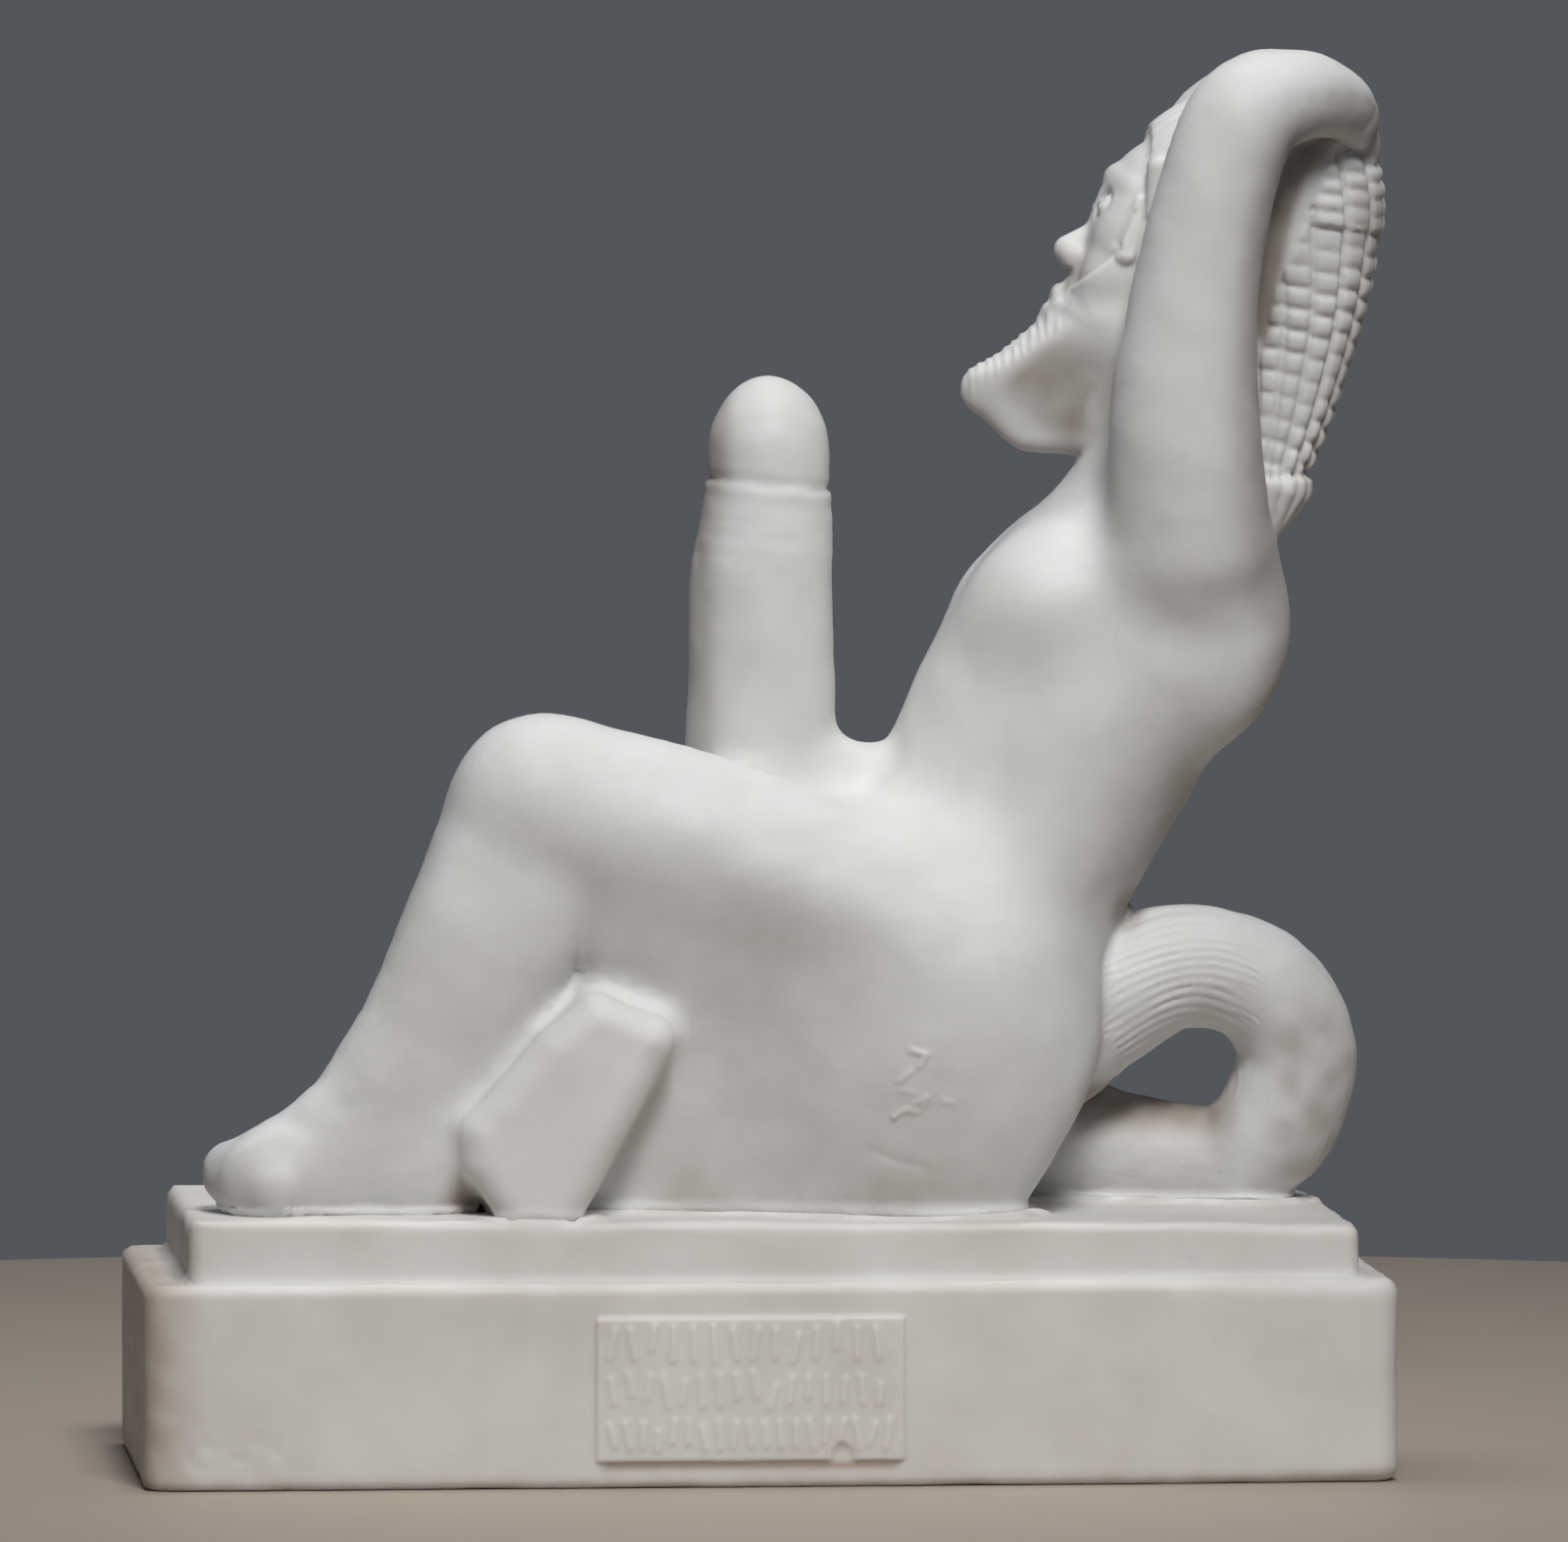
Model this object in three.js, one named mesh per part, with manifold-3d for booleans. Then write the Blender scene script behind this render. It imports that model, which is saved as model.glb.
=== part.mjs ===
// Satyr statuette, cast in white alabaster, on a two-step plinth.
//
// The satyr sits back on the plinth with both knees drawn up, leans away from them, lifts a
// wedge-shaped beard to the sky and folds both arms over and behind the head. A long mass of
// beaded hair hangs down the nape and a heavy horse tail loops behind the seat.
//
// Millimetres. +X runs from the toes to the tail, +Y away from the viewer who sees the figure's
// left side, +Z up. The origin is the middle of the plinth's underside.
//
// The figure is modelled as a distance field: tapering limbs and eggs, melted into each other,
// and then turned into a closed mesh that keeps its triangles where the carving is fine.

import * as THREE from "three";
import { mergeVertices } from "three/addons/utils/BufferGeometryUtils.js";
import Module from "manifold-3d";

const wasm = await Module();
wasm.setup();

// Driving sizes
const BASE = { length: 147.6, depth: 64, height: 24, corner: 2.4, edge: 1.4 };
const SLAB = { length: 138, depth: 56, height: 6.85, corner: 1.4, edge: 0.6, x: 0.5 };
const SLAB_TOP = BASE.height + SLAB.height;
const SLAB_SLOPE = 0.0099; // how much the slab's top drops along x
const BEDDING = 0.3; // gap between the figure's soles and the slab
const FOOTING = { figure: 32.6, tail: 31.9 }; // heights below which the sides run straight down
const PLAQUE = { length: 36.2, height: 17, proud: 0.8, x: -2.8, z: 11.6 };

const HEAD = { x: 52.3, z: 145.2, tilt: THREE.MathUtils.degToRad(38.5) };
const BEARD = { pitch: 1.35, relief: 0.35 }; // the short strokes across its front
const HAIR = { rows: 17, columns: 16, groove: 0.4, bead: 0.5, inset: 0.2, side: 0.8 };
const STRUT = { near: -27.4, far: -13, corner: 1.8, edge: 3.2 }; // the broken strut
const SHIN_SIDE = 24; // where the flat outer sides of the lower legs lie across the body

// The flanks below the thighs: half their width at the slab, how much they lean out above it, how
// much more from the height of the turn up, over how soft a turn, and how they widen along x.
const FLANK = { foot: 17.2, lean: 0.17, under: 0.3, turn: 62, soft: 8, widen: 0.12 };

// How finely each region of the figure is sampled, and how many triangles it keeps.
const BODY_MESH = { step: 1.3, triangles: 4500, low: [-71, -30, 27], high: [76, 30, 170] };
const HEAD_MESH = { step: 0.8, triangles: 1600, low: [20, -15, 114], high: [68, 15, 166] };
const HANDS_MESH = { step: 0.7, triangles: 500, low: [66, -12, 150], high: [77, 12, 166] };

// Fields: functions of x, y, z that are negative inside and positive outside

const clamp = (value, low, high) => Math.min(high, Math.max(low, value));

// A tapering limb with round ends. Its sections are widened across the body by side.
function limb(a, b, ra, rb, side = 1) {
  const [ax, ay, az] = a;
  const [bx, by, bz] = [b[0] - ax, (b[1] - ay) / side, b[2] - az];
  const length2 = bx * bx + by * by + bz * bz;
  return (x, y, z) => {
    const px = x - ax;
    const py = (y - ay) / side;
    const pz = z - az;
    const t = clamp((px * bx + py * by + pz * bz) / length2, 0, 1);
    const dx = px - bx * t;
    const dy = py - by * t;
    const dz = pz - bz * t;
    return Math.sqrt(dx * dx + dy * dy + dz * dz) - ra - (rb - ra) * t;
  };
}

// An ellipsoid with its radii along x, y and z, leaned back by tilt in the plane of the profile.
function egg([cx, cy, cz], [rx, ry, rz], tilt = 0) {
  const [cos, sin] = [Math.cos(tilt), Math.sin(tilt)];
  return (x, y, z) => {
    const dx = x - cx;
    const dz = z - cz;
    const u = (cos * dx - sin * dz) / rx;
    const v = (y - cy) / ry;
    const w = (sin * dx + cos * dz) / rz;
    const near = Math.sqrt(u * u + v * v + w * w);
    const slope = Math.sqrt((u / rx) ** 2 + (v / ry) ** 2 + (w / rz) ** 2);
    return near < 1e-6 ? -Math.min(rx, ry, rz) : (near * (near - 1)) / slope;
  };
}

// A limb along a smooth curve through stations of x, y, z and radius.
function tube(stations, side = 1, steps = 5) {
  const line = new THREE.CatmullRomCurve3(
    stations.map(([x, y, z]) => new THREE.Vector3(x, y, z)), false, "catmullrom");
  const girth = new THREE.CatmullRomCurve3(
    stations.map(([, , , r]) => new THREE.Vector3(r, 0, 0)), false, "catmullrom");
  const count = (stations.length - 1) * steps;
  const at = (i) => [line.getPoint(i / count).toArray(), girth.getPoint(i / count).x];
  const pieces = [];
  for (let i = 0; i < count; i++) {
    const [[a, ra], [b, rb]] = [at(i), at(i + 1)];
    pieces.push(limb(a, b, ra, rb, side));
  }
  return (x, y, z) => {
    let best = Infinity;
    for (const piece of pieces) best = Math.min(best, piece(x, y, z));
    return best;
  };
}

// Melts fields into one, with a fillet about k wide where they meet.
function blend(k, ...fields) {
  return (x, y, z) => {
    let d = fields[0](x, y, z);
    for (let i = 1; i < fields.length; i++) {
      const e = fields[i](x, y, z);
      const h = Math.max(k - Math.abs(d - e), 0);
      d = Math.min(d, e) - (h * h) / (4 * k);
    }
    return d;
  };
}

// Takes the tool away from the field and rounds the new edge by about k.
function carve(k, field, tool) {
  const rest = blend(k, (x, y, z) => -field(x, y, z), tool);
  return (x, y, z) => -rest(x, y, z);
}

// The same on both sides of the body; the part is given on the far side, where y is positive.
const paired = (field) => (x, y, z) => field(x, Math.abs(y), z);

// Leaves a field out where it is too far away to matter.
function within([cx, cy, cz], reach, field) {
  const skip = 7;
  return (x, y, z) => {
    const away = Math.sqrt((x - cx) ** 2 + (y - cy) ** 2 + (z - cz) ** 2) - reach;
    return away > skip ? away : field(x, y, z);
  };
}

// The figure

function torso() {
  const trunk = tube([
    [23.5, 0, 56, 16.4],
    [28, 0, 69.4, 16.4],
    [32.8, 0, 80.6, 17.3],
    [37.8, 0, 90.4, 17.8],
    [42.2, 0, 99.3, 16.3],
    [46.5, 0, 107.6, 12],
  ], 0.98);
  const breasts = paired(egg([34.8, 7.5, 102.2], [8.8, 9, 7.2], -0.5));
  const blades = paired(egg([52.2, 9, 99.4], [11, 9, 14], 0.12));
  const neck = limb([47.4, 0, 108], [49.5, 0, 132], 8.8, 8.8);
  const nape = limb([57, 0, 117], [58.5, 0, 138], 3, 4);
  const seat = paired(egg([23, 10.6, 47], [16.4, 12, 19.5]));
  return blend(6, trunk, breasts, blades, blend(1, neck, nape), seat);
}

// A leg in two fields that meet in a crease behind the knee: the thigh, deepened underneath, and
// the lower leg with the foot, whose outer side is flat.
function leg({ hip, groin, thigh, under, knee, calf, ankle, instep, ball, toes, heel }) {
  const out = Math.sign(toes[1]);
  const upper = blend(3,
    tube([[...hip, 14.6], [...groin, 13.8], [...thigh, 12.6], [...knee, 11.4]], 0.92),
    limb(under, [under[0] + 22, under[1], under[2] - 9], 10.2, 12.5, 0.95));
  const shin = tube([
    [...knee, 11.2], [...calf, 10.2], [...ankle, 8.2], [...instep, 6.9], [...ball, 5.4],
  ], 0.95);
  const sole = blend(3, limb(ankle, heel, 7.8, 6.7), limb(heel, ball, 6.4, 5, 1.05));
  const fan = [0, 1, 2, 3, 4].map((i) => {
    const y = toes[1] + out * (2.6 * i - 5);
    const root = [ball[0], ball[1] + (y - ball[1]) * 0.6, ball[2]];
    return limb(root, [toes[0] + 0.28 * i * i, y, toes[2] - 0.3 * i], 4.6, 3.4 - 0.2 * i, 0.8);
  });
  const whole = carve(5, blend(3, shin, sole), (x, y) => SHIN_SIDE - out * y);
  return { upper, lower: blend(1.8, whole, ...fan) };
}

const NEAR_LEG = {
  hip: [20, -12, 58], groin: [5.5, -13.4, 66], thigh: [-9.5, -14.2, 73.2],
  under: [-14.2, -13.2, 66.2], knee: [-25.6, -14.6, 78.6], calf: [-33.9, -15.4, 61],
  ankle: [-42.6, -16, 46.5], instep: [-50.3, -16.8, 40], ball: [-58, -17.4, 35.9],
  toes: [-62.6, -17.6, 36.1], heel: [-40.8, -16.6, 37.5],
};
const FAR_LEG = {
  hip: [20, 12, 58], groin: [9, 13.4, 63.4], thigh: [-3.5, 14.2, 68.4],
  under: [-8, 13.2, 61.6], knee: [-17.6, 14.6, 72.8], calf: [-25.6, 15.4, 57.2],
  ankle: [-35.1, 16, 45.6], instep: [-42.3, 16.8, 39.8], ball: [-50, 17.4, 35.9],
  toes: [-54.6, 17.6, 36.1], heel: [-32.8, 16.6, 37.5],
};

// How far the sides reach out below the thighs: they lean in towards the slab, and more steeply
// just under the thighs, and they widen towards the seat.
function flank(x, z) {
  const above = z - FLANK.turn;
  const rise = (above + Math.hypot(above, FLANK.soft)) / 2;
  return FLANK.foot + FLANK.lean * (z - SLAB_TOP) + FLANK.under * rise + FLANK.widen * x;
}

// Both legs, with the hips and the mass under the thighs that closes the space below the knees.
function legs() {
  const [near, far] = [leg(NEAR_LEG), leg(FAR_LEG)];
  const hips = paired(limb([10, 11, 58], [21, 10, 47], 12, 12.4));
  const mass = paired(egg([5, 9, 42], [30, 13.4, 24]));
  const pits = paired(limb([-17, 11.5, 52], [2, 12, 52], 7, 9));
  const footing = paired(limb([-33, 8, 35], [4, 9, 40], 5, 12));
  const closed = blend(5, near.upper, far.upper, hips, mass, pits, footing);
  return blend(1.4,
    carve(3, closed, (x, y, z) => flank(x, z) - Math.abs(y)),
    within([-46, -16, 60], 38, near.lower),
    within([-38, 16, 56], 38, far.lower));
}

// One arm, from the shoulder over the elbow to the hand behind the head. The far arm sits a
// little lower, so that the near one hides it.
function arm(side, drop) {
  const place = ([x, y, z, r]) => [x + 0.5 * drop, side * y, z - drop, r];
  return tube([
    [50.6, 13.5, 110.4, 9.8],
    [50, 15.5, 120.2, 9.1],
    [49.9, 16, 127.8, 8.6],
    [51, 16.5, 139.2, 7.5],
    [53.1, 17, 150.4, 6.9],
    [56.8, 16.5, 160.2, 6.6],
    [63, 14.2, 162.7, 5.5],
    [67.9, 10.6, 162, 4.4],
    [70.2, 6.8, 160.2, 3.6],
    [70.8, 3, 158.6, 3],
    [70.6, -0.5, 157.6, 2.4],
  ].map(place));
}

// The two hands, the near one laid over the far one on the back of the hair.
function hands() {
  const nearPalm = egg([71.3, -6, 159.6], [2.5, 4.6, 3.4]);
  const farPalm = egg([71, 5.4, 157.6], [2.3, 4.6, 3.2]);
  const fingers = [0, 1, 2, 3].map((i) => blend(0.5,
    limb([71.8, -3.6, 161.6 - 1.55 * i], [73, 0.6, 161 - 1.6 * i], 1.25, 1.15),
    limb([73, 0.6, 161 - 1.6 * i], [71.9, 5.4 - 0.5 * i, 160 - 1.6 * i], 1.15, 0.9)));
  const thumb = limb([70.2, -4.6, 162.4], [71, 0, 162.9], 1.3, 1);
  return blend(0.7, nearPalm, farPalm, thumb, ...fingers);
}

// The head is modelled upright, with x forward of the middle of the skull, y beside it and z
// above it, and then laid back on the neck.
function onNeck(field) {
  const [cos, sin] = [Math.cos(HEAD.tilt), Math.sin(HEAD.tilt)];
  return (x, y, z) => {
    const [dx, dz] = [x - HEAD.x, z - HEAD.z];
    return field(-cos * dx + sin * dz, y, sin * dx + cos * dz);
  };
}

function face() {
  const skull = blend(3, egg([0, 0, 1], [12.7, 10.4, 12.6]), egg([1.6, 0, -7.5], [8.2, 8.6, 12.6]));
  const brows = paired(limb([12, 0.6, 0.5], [9.8, 5.4, 0.4], 1.1, 1));
  const temples = paired(egg([5.4, 4.4, -2.5], [5.4, 4.2, 8]));
  const nose = blend(1,
    limb([9.5, 0, -5.4], [10.8, 0, -9.8], 1.1, 1.8),
    paired(egg([9.8, 1.7, -10.3], [1.6, 1.4, 1.5])));
  const cheeks = paired(egg([5.5, 4.6, -9], [3.7, 3.6, 4.6]));
  const whiskers = paired(limb([8.3, 0.6, -14.4], [7.7, 2.4, -15.8], 1.2, 0.9));
  const lip = egg([7.4, 0, -16.8], [1.5, 2.6, 0.8]);
  const sockets = paired(egg([12, 3.3, -3.2], [1.9, 2.2, 1.8]));
  const eyes = paired(egg([9.8, 3.2, -3.5], [1.9, 2, 1.3]));
  const ears = paired(limb([5.9, 8.3, -6.3], [8.7, 7.9, -0.3], 1.3, 0.4));
  const carved = carve(1, blend(1.2, skull, temples, brows, cheeks), sockets);
  return blend(0.6, carved, nose, whiskers, lip, eyes, ears);
}

// The hair on the skull ends at a straight edge from the forehead down to the temples, where a
// pointed lock hangs on in front of each ear.
function cap() {
  const round = egg([1, 0, 5], [11.8, 10.2, 14.3]);
  const locks = paired(limb([9, 8.4, 4], [6.7, 9.3, -0.9], 1.7, 0.5));
  const edge = [0.863, -0.505, 6.8];
  const trimmed = (x, y, z) => Math.max(round(x, y, z), edge[0] * x + edge[1] * z - edge[2]);
  return blend(0.6, trimmed, locks);
}

// The wedge of the beard, flat at the sides, with short strokes across its front.
function beard() {
  const block = blend(3,
    limb([0.6, 0, -17], [8.4, 0, -28.8], 7.8, 2.4, 1.15),
    limb([7.9, 0, -28.9], [2.6, 0, -27], 2.4, 4.7, 1.15),
    limb([2.6, 0, -27], [-3, 0, -22.6], 4.7, 6.4, 1.15));
  const wedge = carve(1.6, block, (x, y, z) => 2 + 0.4 * (30 + z) - Math.abs(y));
  return (x, y, z) => {
    const onFront = clamp((x - 4.5) / 2, 0, 1) * clamp((-16.5 - z) / 2, 0, 1);
    const stroke = Math.abs(Math.sin((Math.PI * z) / BEARD.pitch));
    return wedge(x, y, z) - BEARD.relief * onFront * (stroke - 0.5);
  };
}

// The mass of hair, from the crown to the tie: x and z of its middle, and its radius.
const HAIR_STATIONS = [
  [62, 163.2, 3], [62.2, 160.4, 8.6], [62.8, 153.4, 11.8], [63.9, 146, 11], [64.4, 136, 8.7],
  [63.3, 126, 6.7], [62, 118.4, 5],
];

const HAIR_LINE = new THREE.CatmullRomCurve3(
  HAIR_STATIONS.map(([x, z, r]) => new THREE.Vector3(x, z, r)), false, "catmullrom");

// A point of the mass of hair, lifted off its surface.
function hairPoint(along, around, lift) {
  const place = HAIR_LINE.getPointAt(clamp(along, 0, 1));
  const angle = 2 * Math.PI * around;
  const reach = place.z + lift;
  return [place.x + reach * Math.cos(angle), HAIR.side * reach * Math.sin(angle), place.y];
}

// The beads of the hair, each a raised square between grooves, closed at the crown and the tie.
function beads() {
  const { rows, columns, groove, bead, inset } = HAIR;
  const points = [];
  const triangles = [];
  for (let i = 0; i <= rows; i++) {
    for (let j = 0; j < columns; j++) points.push(hairPoint(i / rows, j / columns, -groove));
  }
  const corner = (i, j) => i * columns + (j % columns);
  const quad = (a, b, c, d) => triangles.push(a, b, c, a, c, d);
  for (let i = 0; i < rows; i++) {
    for (let j = 0; j < columns; j++) {
      const rim = [corner(i, j), corner(i + 1, j), corner(i + 1, j + 1), corner(i, j + 1)];
      const [far, near] = [1 - inset, inset];
      const top = [[near, near], [far, near], [far, far], [near, far]].map(([down, round]) => {
        points.push(hairPoint((i + down) / rows, (j + round) / columns, bead));
        return points.length - 1;
      });
      quad(...top);
      for (let n = 0; n < 4; n++) quad(rim[n], rim[(n + 1) % 4], top[(n + 1) % 4], top[n]);
    }
  }
  for (const i of [0, rows]) {
    const [x, , z] = hairPoint(i / rows, 0, 0);
    const middle = HAIR_STATIONS.at(i ? -1 : 0)[0];
    points.push([middle, 0, i ? z - 0.5 : z + 0.8]);
    for (let j = 0; j < columns; j++) {
      const [a, b] = i ? [j + 1, j] : [j, j + 1];
      triangles.push(corner(i, a), corner(i, b), points.length - 1);
    }
  }
  return solidOf(points.flat(), triangles);
}

const TAIL_STATIONS = [
  [34, 0, 51, 10],
  [40.6, 0, 54.6, 8.5],
  [48, 0.3, 58.2, 7.7],
  [54.6, 1, 58.7, 7.2],
  [61.1, 2, 56.1, 7.1],
  [65, 3, 50.5, 7.1],
  [65.1, 4, 45, 7.3],
  [62.3, 5, 38.7, 7.3],
  [56.5, 7.2, 35.2, 6.6],
  [46, 9, 36.1, 6.9],
  [36, 10, 38.4, 8],
];

function groin() {
  const mound = egg([10.6, 0, 80], [8.4, 7.2, 6]);
  const shaft = tube([
    [9, 0, 66, 9.6],
    [1.4, 0, 79, 8.9],
    [1.1, 0, 93, 8.7],
    [1, 0, 104, 8.5],
    [1.6, 0, 112, 7.8],
    [1.8, 0, 116.4, 7],
  ], 1, 3);
  const tip = egg([1.9, 0, 119.6], [7.3, 7.2, 9.8]);
  const pouch = paired(egg([-4.5, 3, 71.5], [6, 5, 6]));
  return blend(0.8, blend(4, mound, shaft, pouch), tip);
}

// The broken strut between calf and thigh: a flat-sided stub on a narrowed foot.
function strut() {
  const outline = [
    [-20.4, 56], [-12.4, 52.8], [-24, 31.5], [-24.6, 27], [-29.4, 27], [-29.8, 31.5],
    [-34.4, 37.6], [-34.6, 41.8], [-25.8, 51.6],
  ];
  const middle = (STRUT.near + STRUT.far) / 2;
  const half = (STRUT.far - STRUT.near) / 2;
  return (x, y, z) => {
    const flat = outlineDistance(outline, x, z) - STRUT.corner + STRUT.edge;
    const deep = Math.abs(y - middle) - half + STRUT.edge;
    const out = Math.hypot(Math.max(flat, 0), Math.max(deep, 0));
    return out + Math.min(Math.max(flat, deep), 0) - STRUT.edge;
  };
}

// Distance from a point to a closed outline, negative inside it.
function outlineDistance(outline, x, z) {
  let best = Infinity;
  let inside = false;
  for (let i = 0, j = outline.length - 1; i < outline.length; j = i++) {
    const [[ax, az], [bx, bz]] = [outline[j], outline[i]];
    const [ex, ez, px, pz] = [bx - ax, bz - az, x - ax, z - az];
    const t = clamp((px * ex + pz * ez) / (ex * ex + ez * ez), 0, 1);
    best = Math.min(best, Math.hypot(px - ex * t, pz - ez * t));
    if (az > z !== bz > z && px < (ex * pz) / ez) inside = !inside;
  }
  return inside ? -best : best;
}

// The buttocks end behind in a slope that runs down and forward to the slab.
function underSeat(x, y, z) {
  return 9.5 - 0.848 * x + 0.53 * z;
}

// Lets the sides run straight down from the given height.
const grounded = (height, field) => (x, y, z) => field(x, y, Math.max(z, height));

function body() {
  const seated = blend(13, torso(), legs());
  const trunk = carve(4, blend(5, seated, arm(-1, 0), arm(1, 2.2)), underSeat);
  const figure = grounded(FOOTING.figure, blend(3.5, trunk, within([2, 0, 98], 36, groin())));
  const tail = grounded(FOOTING.tail, within([50, 3, 46], 30, tube(TAIL_STATIONS)));
  const tuft = limb([62, 0, 116], [60.6, 0, 110.6], 4.7, 2.4);
  return blend(1, blend(1.4, figure, tail),
    within([-23, -20, 43], 24, strut()),
    within([61, 0, 114], 8, tuft),
    within([71, 0, 159], 9, hands()));
}

// From field to mesh

// The six tetrahedra of a grid cell, each along the cell's diagonal, as corner numbers whose
// bits say which way the corner lies along x, y and z.
const TETRAHEDRA = [[1, 3], [1, 5], [2, 3], [2, 6], [4, 5], [4, 6]].map(([a, b]) => [0, a, b, 7]);

// A closed surface where the field is zero, sampled on a grid over the box. A block of samples
// far from the surface takes its middle's value, and the box's own border counts as outside.
function surfaceOf(field, low, high, step) {
  const count = low.map((l, i) => Math.ceil((high[i] - l) / step) + 1);
  const stride = [1, count[0], count[0] * count[1]];
  const values = new Float32Array(count[0] * count[1] * count[2]);
  const pointAt = (i) => [
    low[0] + (i % count[0]) * step,
    low[1] + (Math.floor(i / count[0]) % count[1]) * step,
    low[2] + Math.floor(i / stride[2]) * step,
  ];
  const block = 5;
  const reach = block * step * 1.5;
  const starts = count.map((n) => Array.from({ length: Math.ceil(n / block) }, (_, i) => i * block));
  const onBorder = (cell) => cell.some((c, axis) => c === 0 || c === count[axis] - 1);
  for (const k0 of starts[2]) for (const j0 of starts[1]) for (const i0 of starts[0]) {
    const half = ((block - 1) / 2) * step;
    const middle = field(...[i0, j0, k0].map((c, axis) => low[axis] + c * step + half));
    for (let k = k0; k < Math.min(k0 + block, count[2]); k++) {
      for (let j = j0; j < Math.min(j0 + block, count[1]); j++) {
        for (let i = i0; i < Math.min(i0 + block, count[0]); i++) {
          const value = Math.abs(middle) > reach
            ? middle : field(low[0] + i * step, low[1] + j * step, low[2] + k * step);
          values[i + j * stride[1] + k * stride[2]] = onBorder([i, j, k])
            ? Math.max(value, step) : value || 1e-4;
        }
      }
    }
  }
  const positions = [];
  const triangles = [];
  const crossings = new Map();
  const crossing = (a, b) => {
    const key = a < b ? a * values.length + b : b * values.length + a;
    if (!crossings.has(key)) {
      const t = clamp(values[a] / (values[a] - values[b]), 0.05, 0.95);
      const [p, q] = [pointAt(a), pointAt(b)];
      crossings.set(key, positions.length / 3);
      positions.push(...p.map((v, i) => v + (q[i] - v) * t));
    }
    return crossings.get(key);
  };
  const addTriangle = (a, b, c, inner) => {
    const [p, q, r] = [a, b, c].map((v) => new THREE.Vector3().fromArray(positions, 3 * v));
    const normal = q.sub(p).cross(r.sub(p));
    const outward = p.sub(new THREE.Vector3(...pointAt(inner)));
    triangles.push(...(normal.dot(outward) > 0 ? [a, b, c] : [a, c, b]));
  };
  const walk = (corners) => {
    const inner = corners.filter((c) => values[c] < 0);
    const outer = corners.filter((c) => values[c] >= 0);
    if (inner.length === 2) {
      const [a, b, c, d] = [[0, 0], [0, 1], [1, 1], [1, 0]].map(
        ([i, o]) => crossing(inner[i], outer[o]));
      addTriangle(a, b, c, inner[0]);
      addTriangle(a, c, d, inner[0]);
    } else if (inner.length === 1 || inner.length === 3) {
      const [lone, others] = inner.length === 1 ? [inner[0], outer] : [outer[0], inner];
      const [a, b, c] = others.map((o) => crossing(lone, o));
      if (inner.length === 1) addTriangle(a, b, c, lone);
      else addTriangle(a, b, c, others[0]);
    }
  };
  for (let k = 0; k < count[2] - 1; k++) {
    for (let j = 0; j < count[1] - 1; j++) {
      for (let i = 0; i < count[0] - 1; i++) {
        const first = i + j * stride[1] + k * stride[2];
        const corner = (bits) => first + (bits & 1) + ((bits >> 1) & 1) * stride[1]
          + (bits >> 2) * stride[2];
        const sign = values[first] < 0;
        let mixed = false;
        for (let bits = 1; bits < 8; bits++) mixed ||= values[corner(bits)] < 0 !== sign;
        if (mixed) TETRAHEDRA.forEach((t) => walk(t.map(corner)));
      }
    }
  }
  return { positions: new Float64Array(positions), triangles };
}

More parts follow.
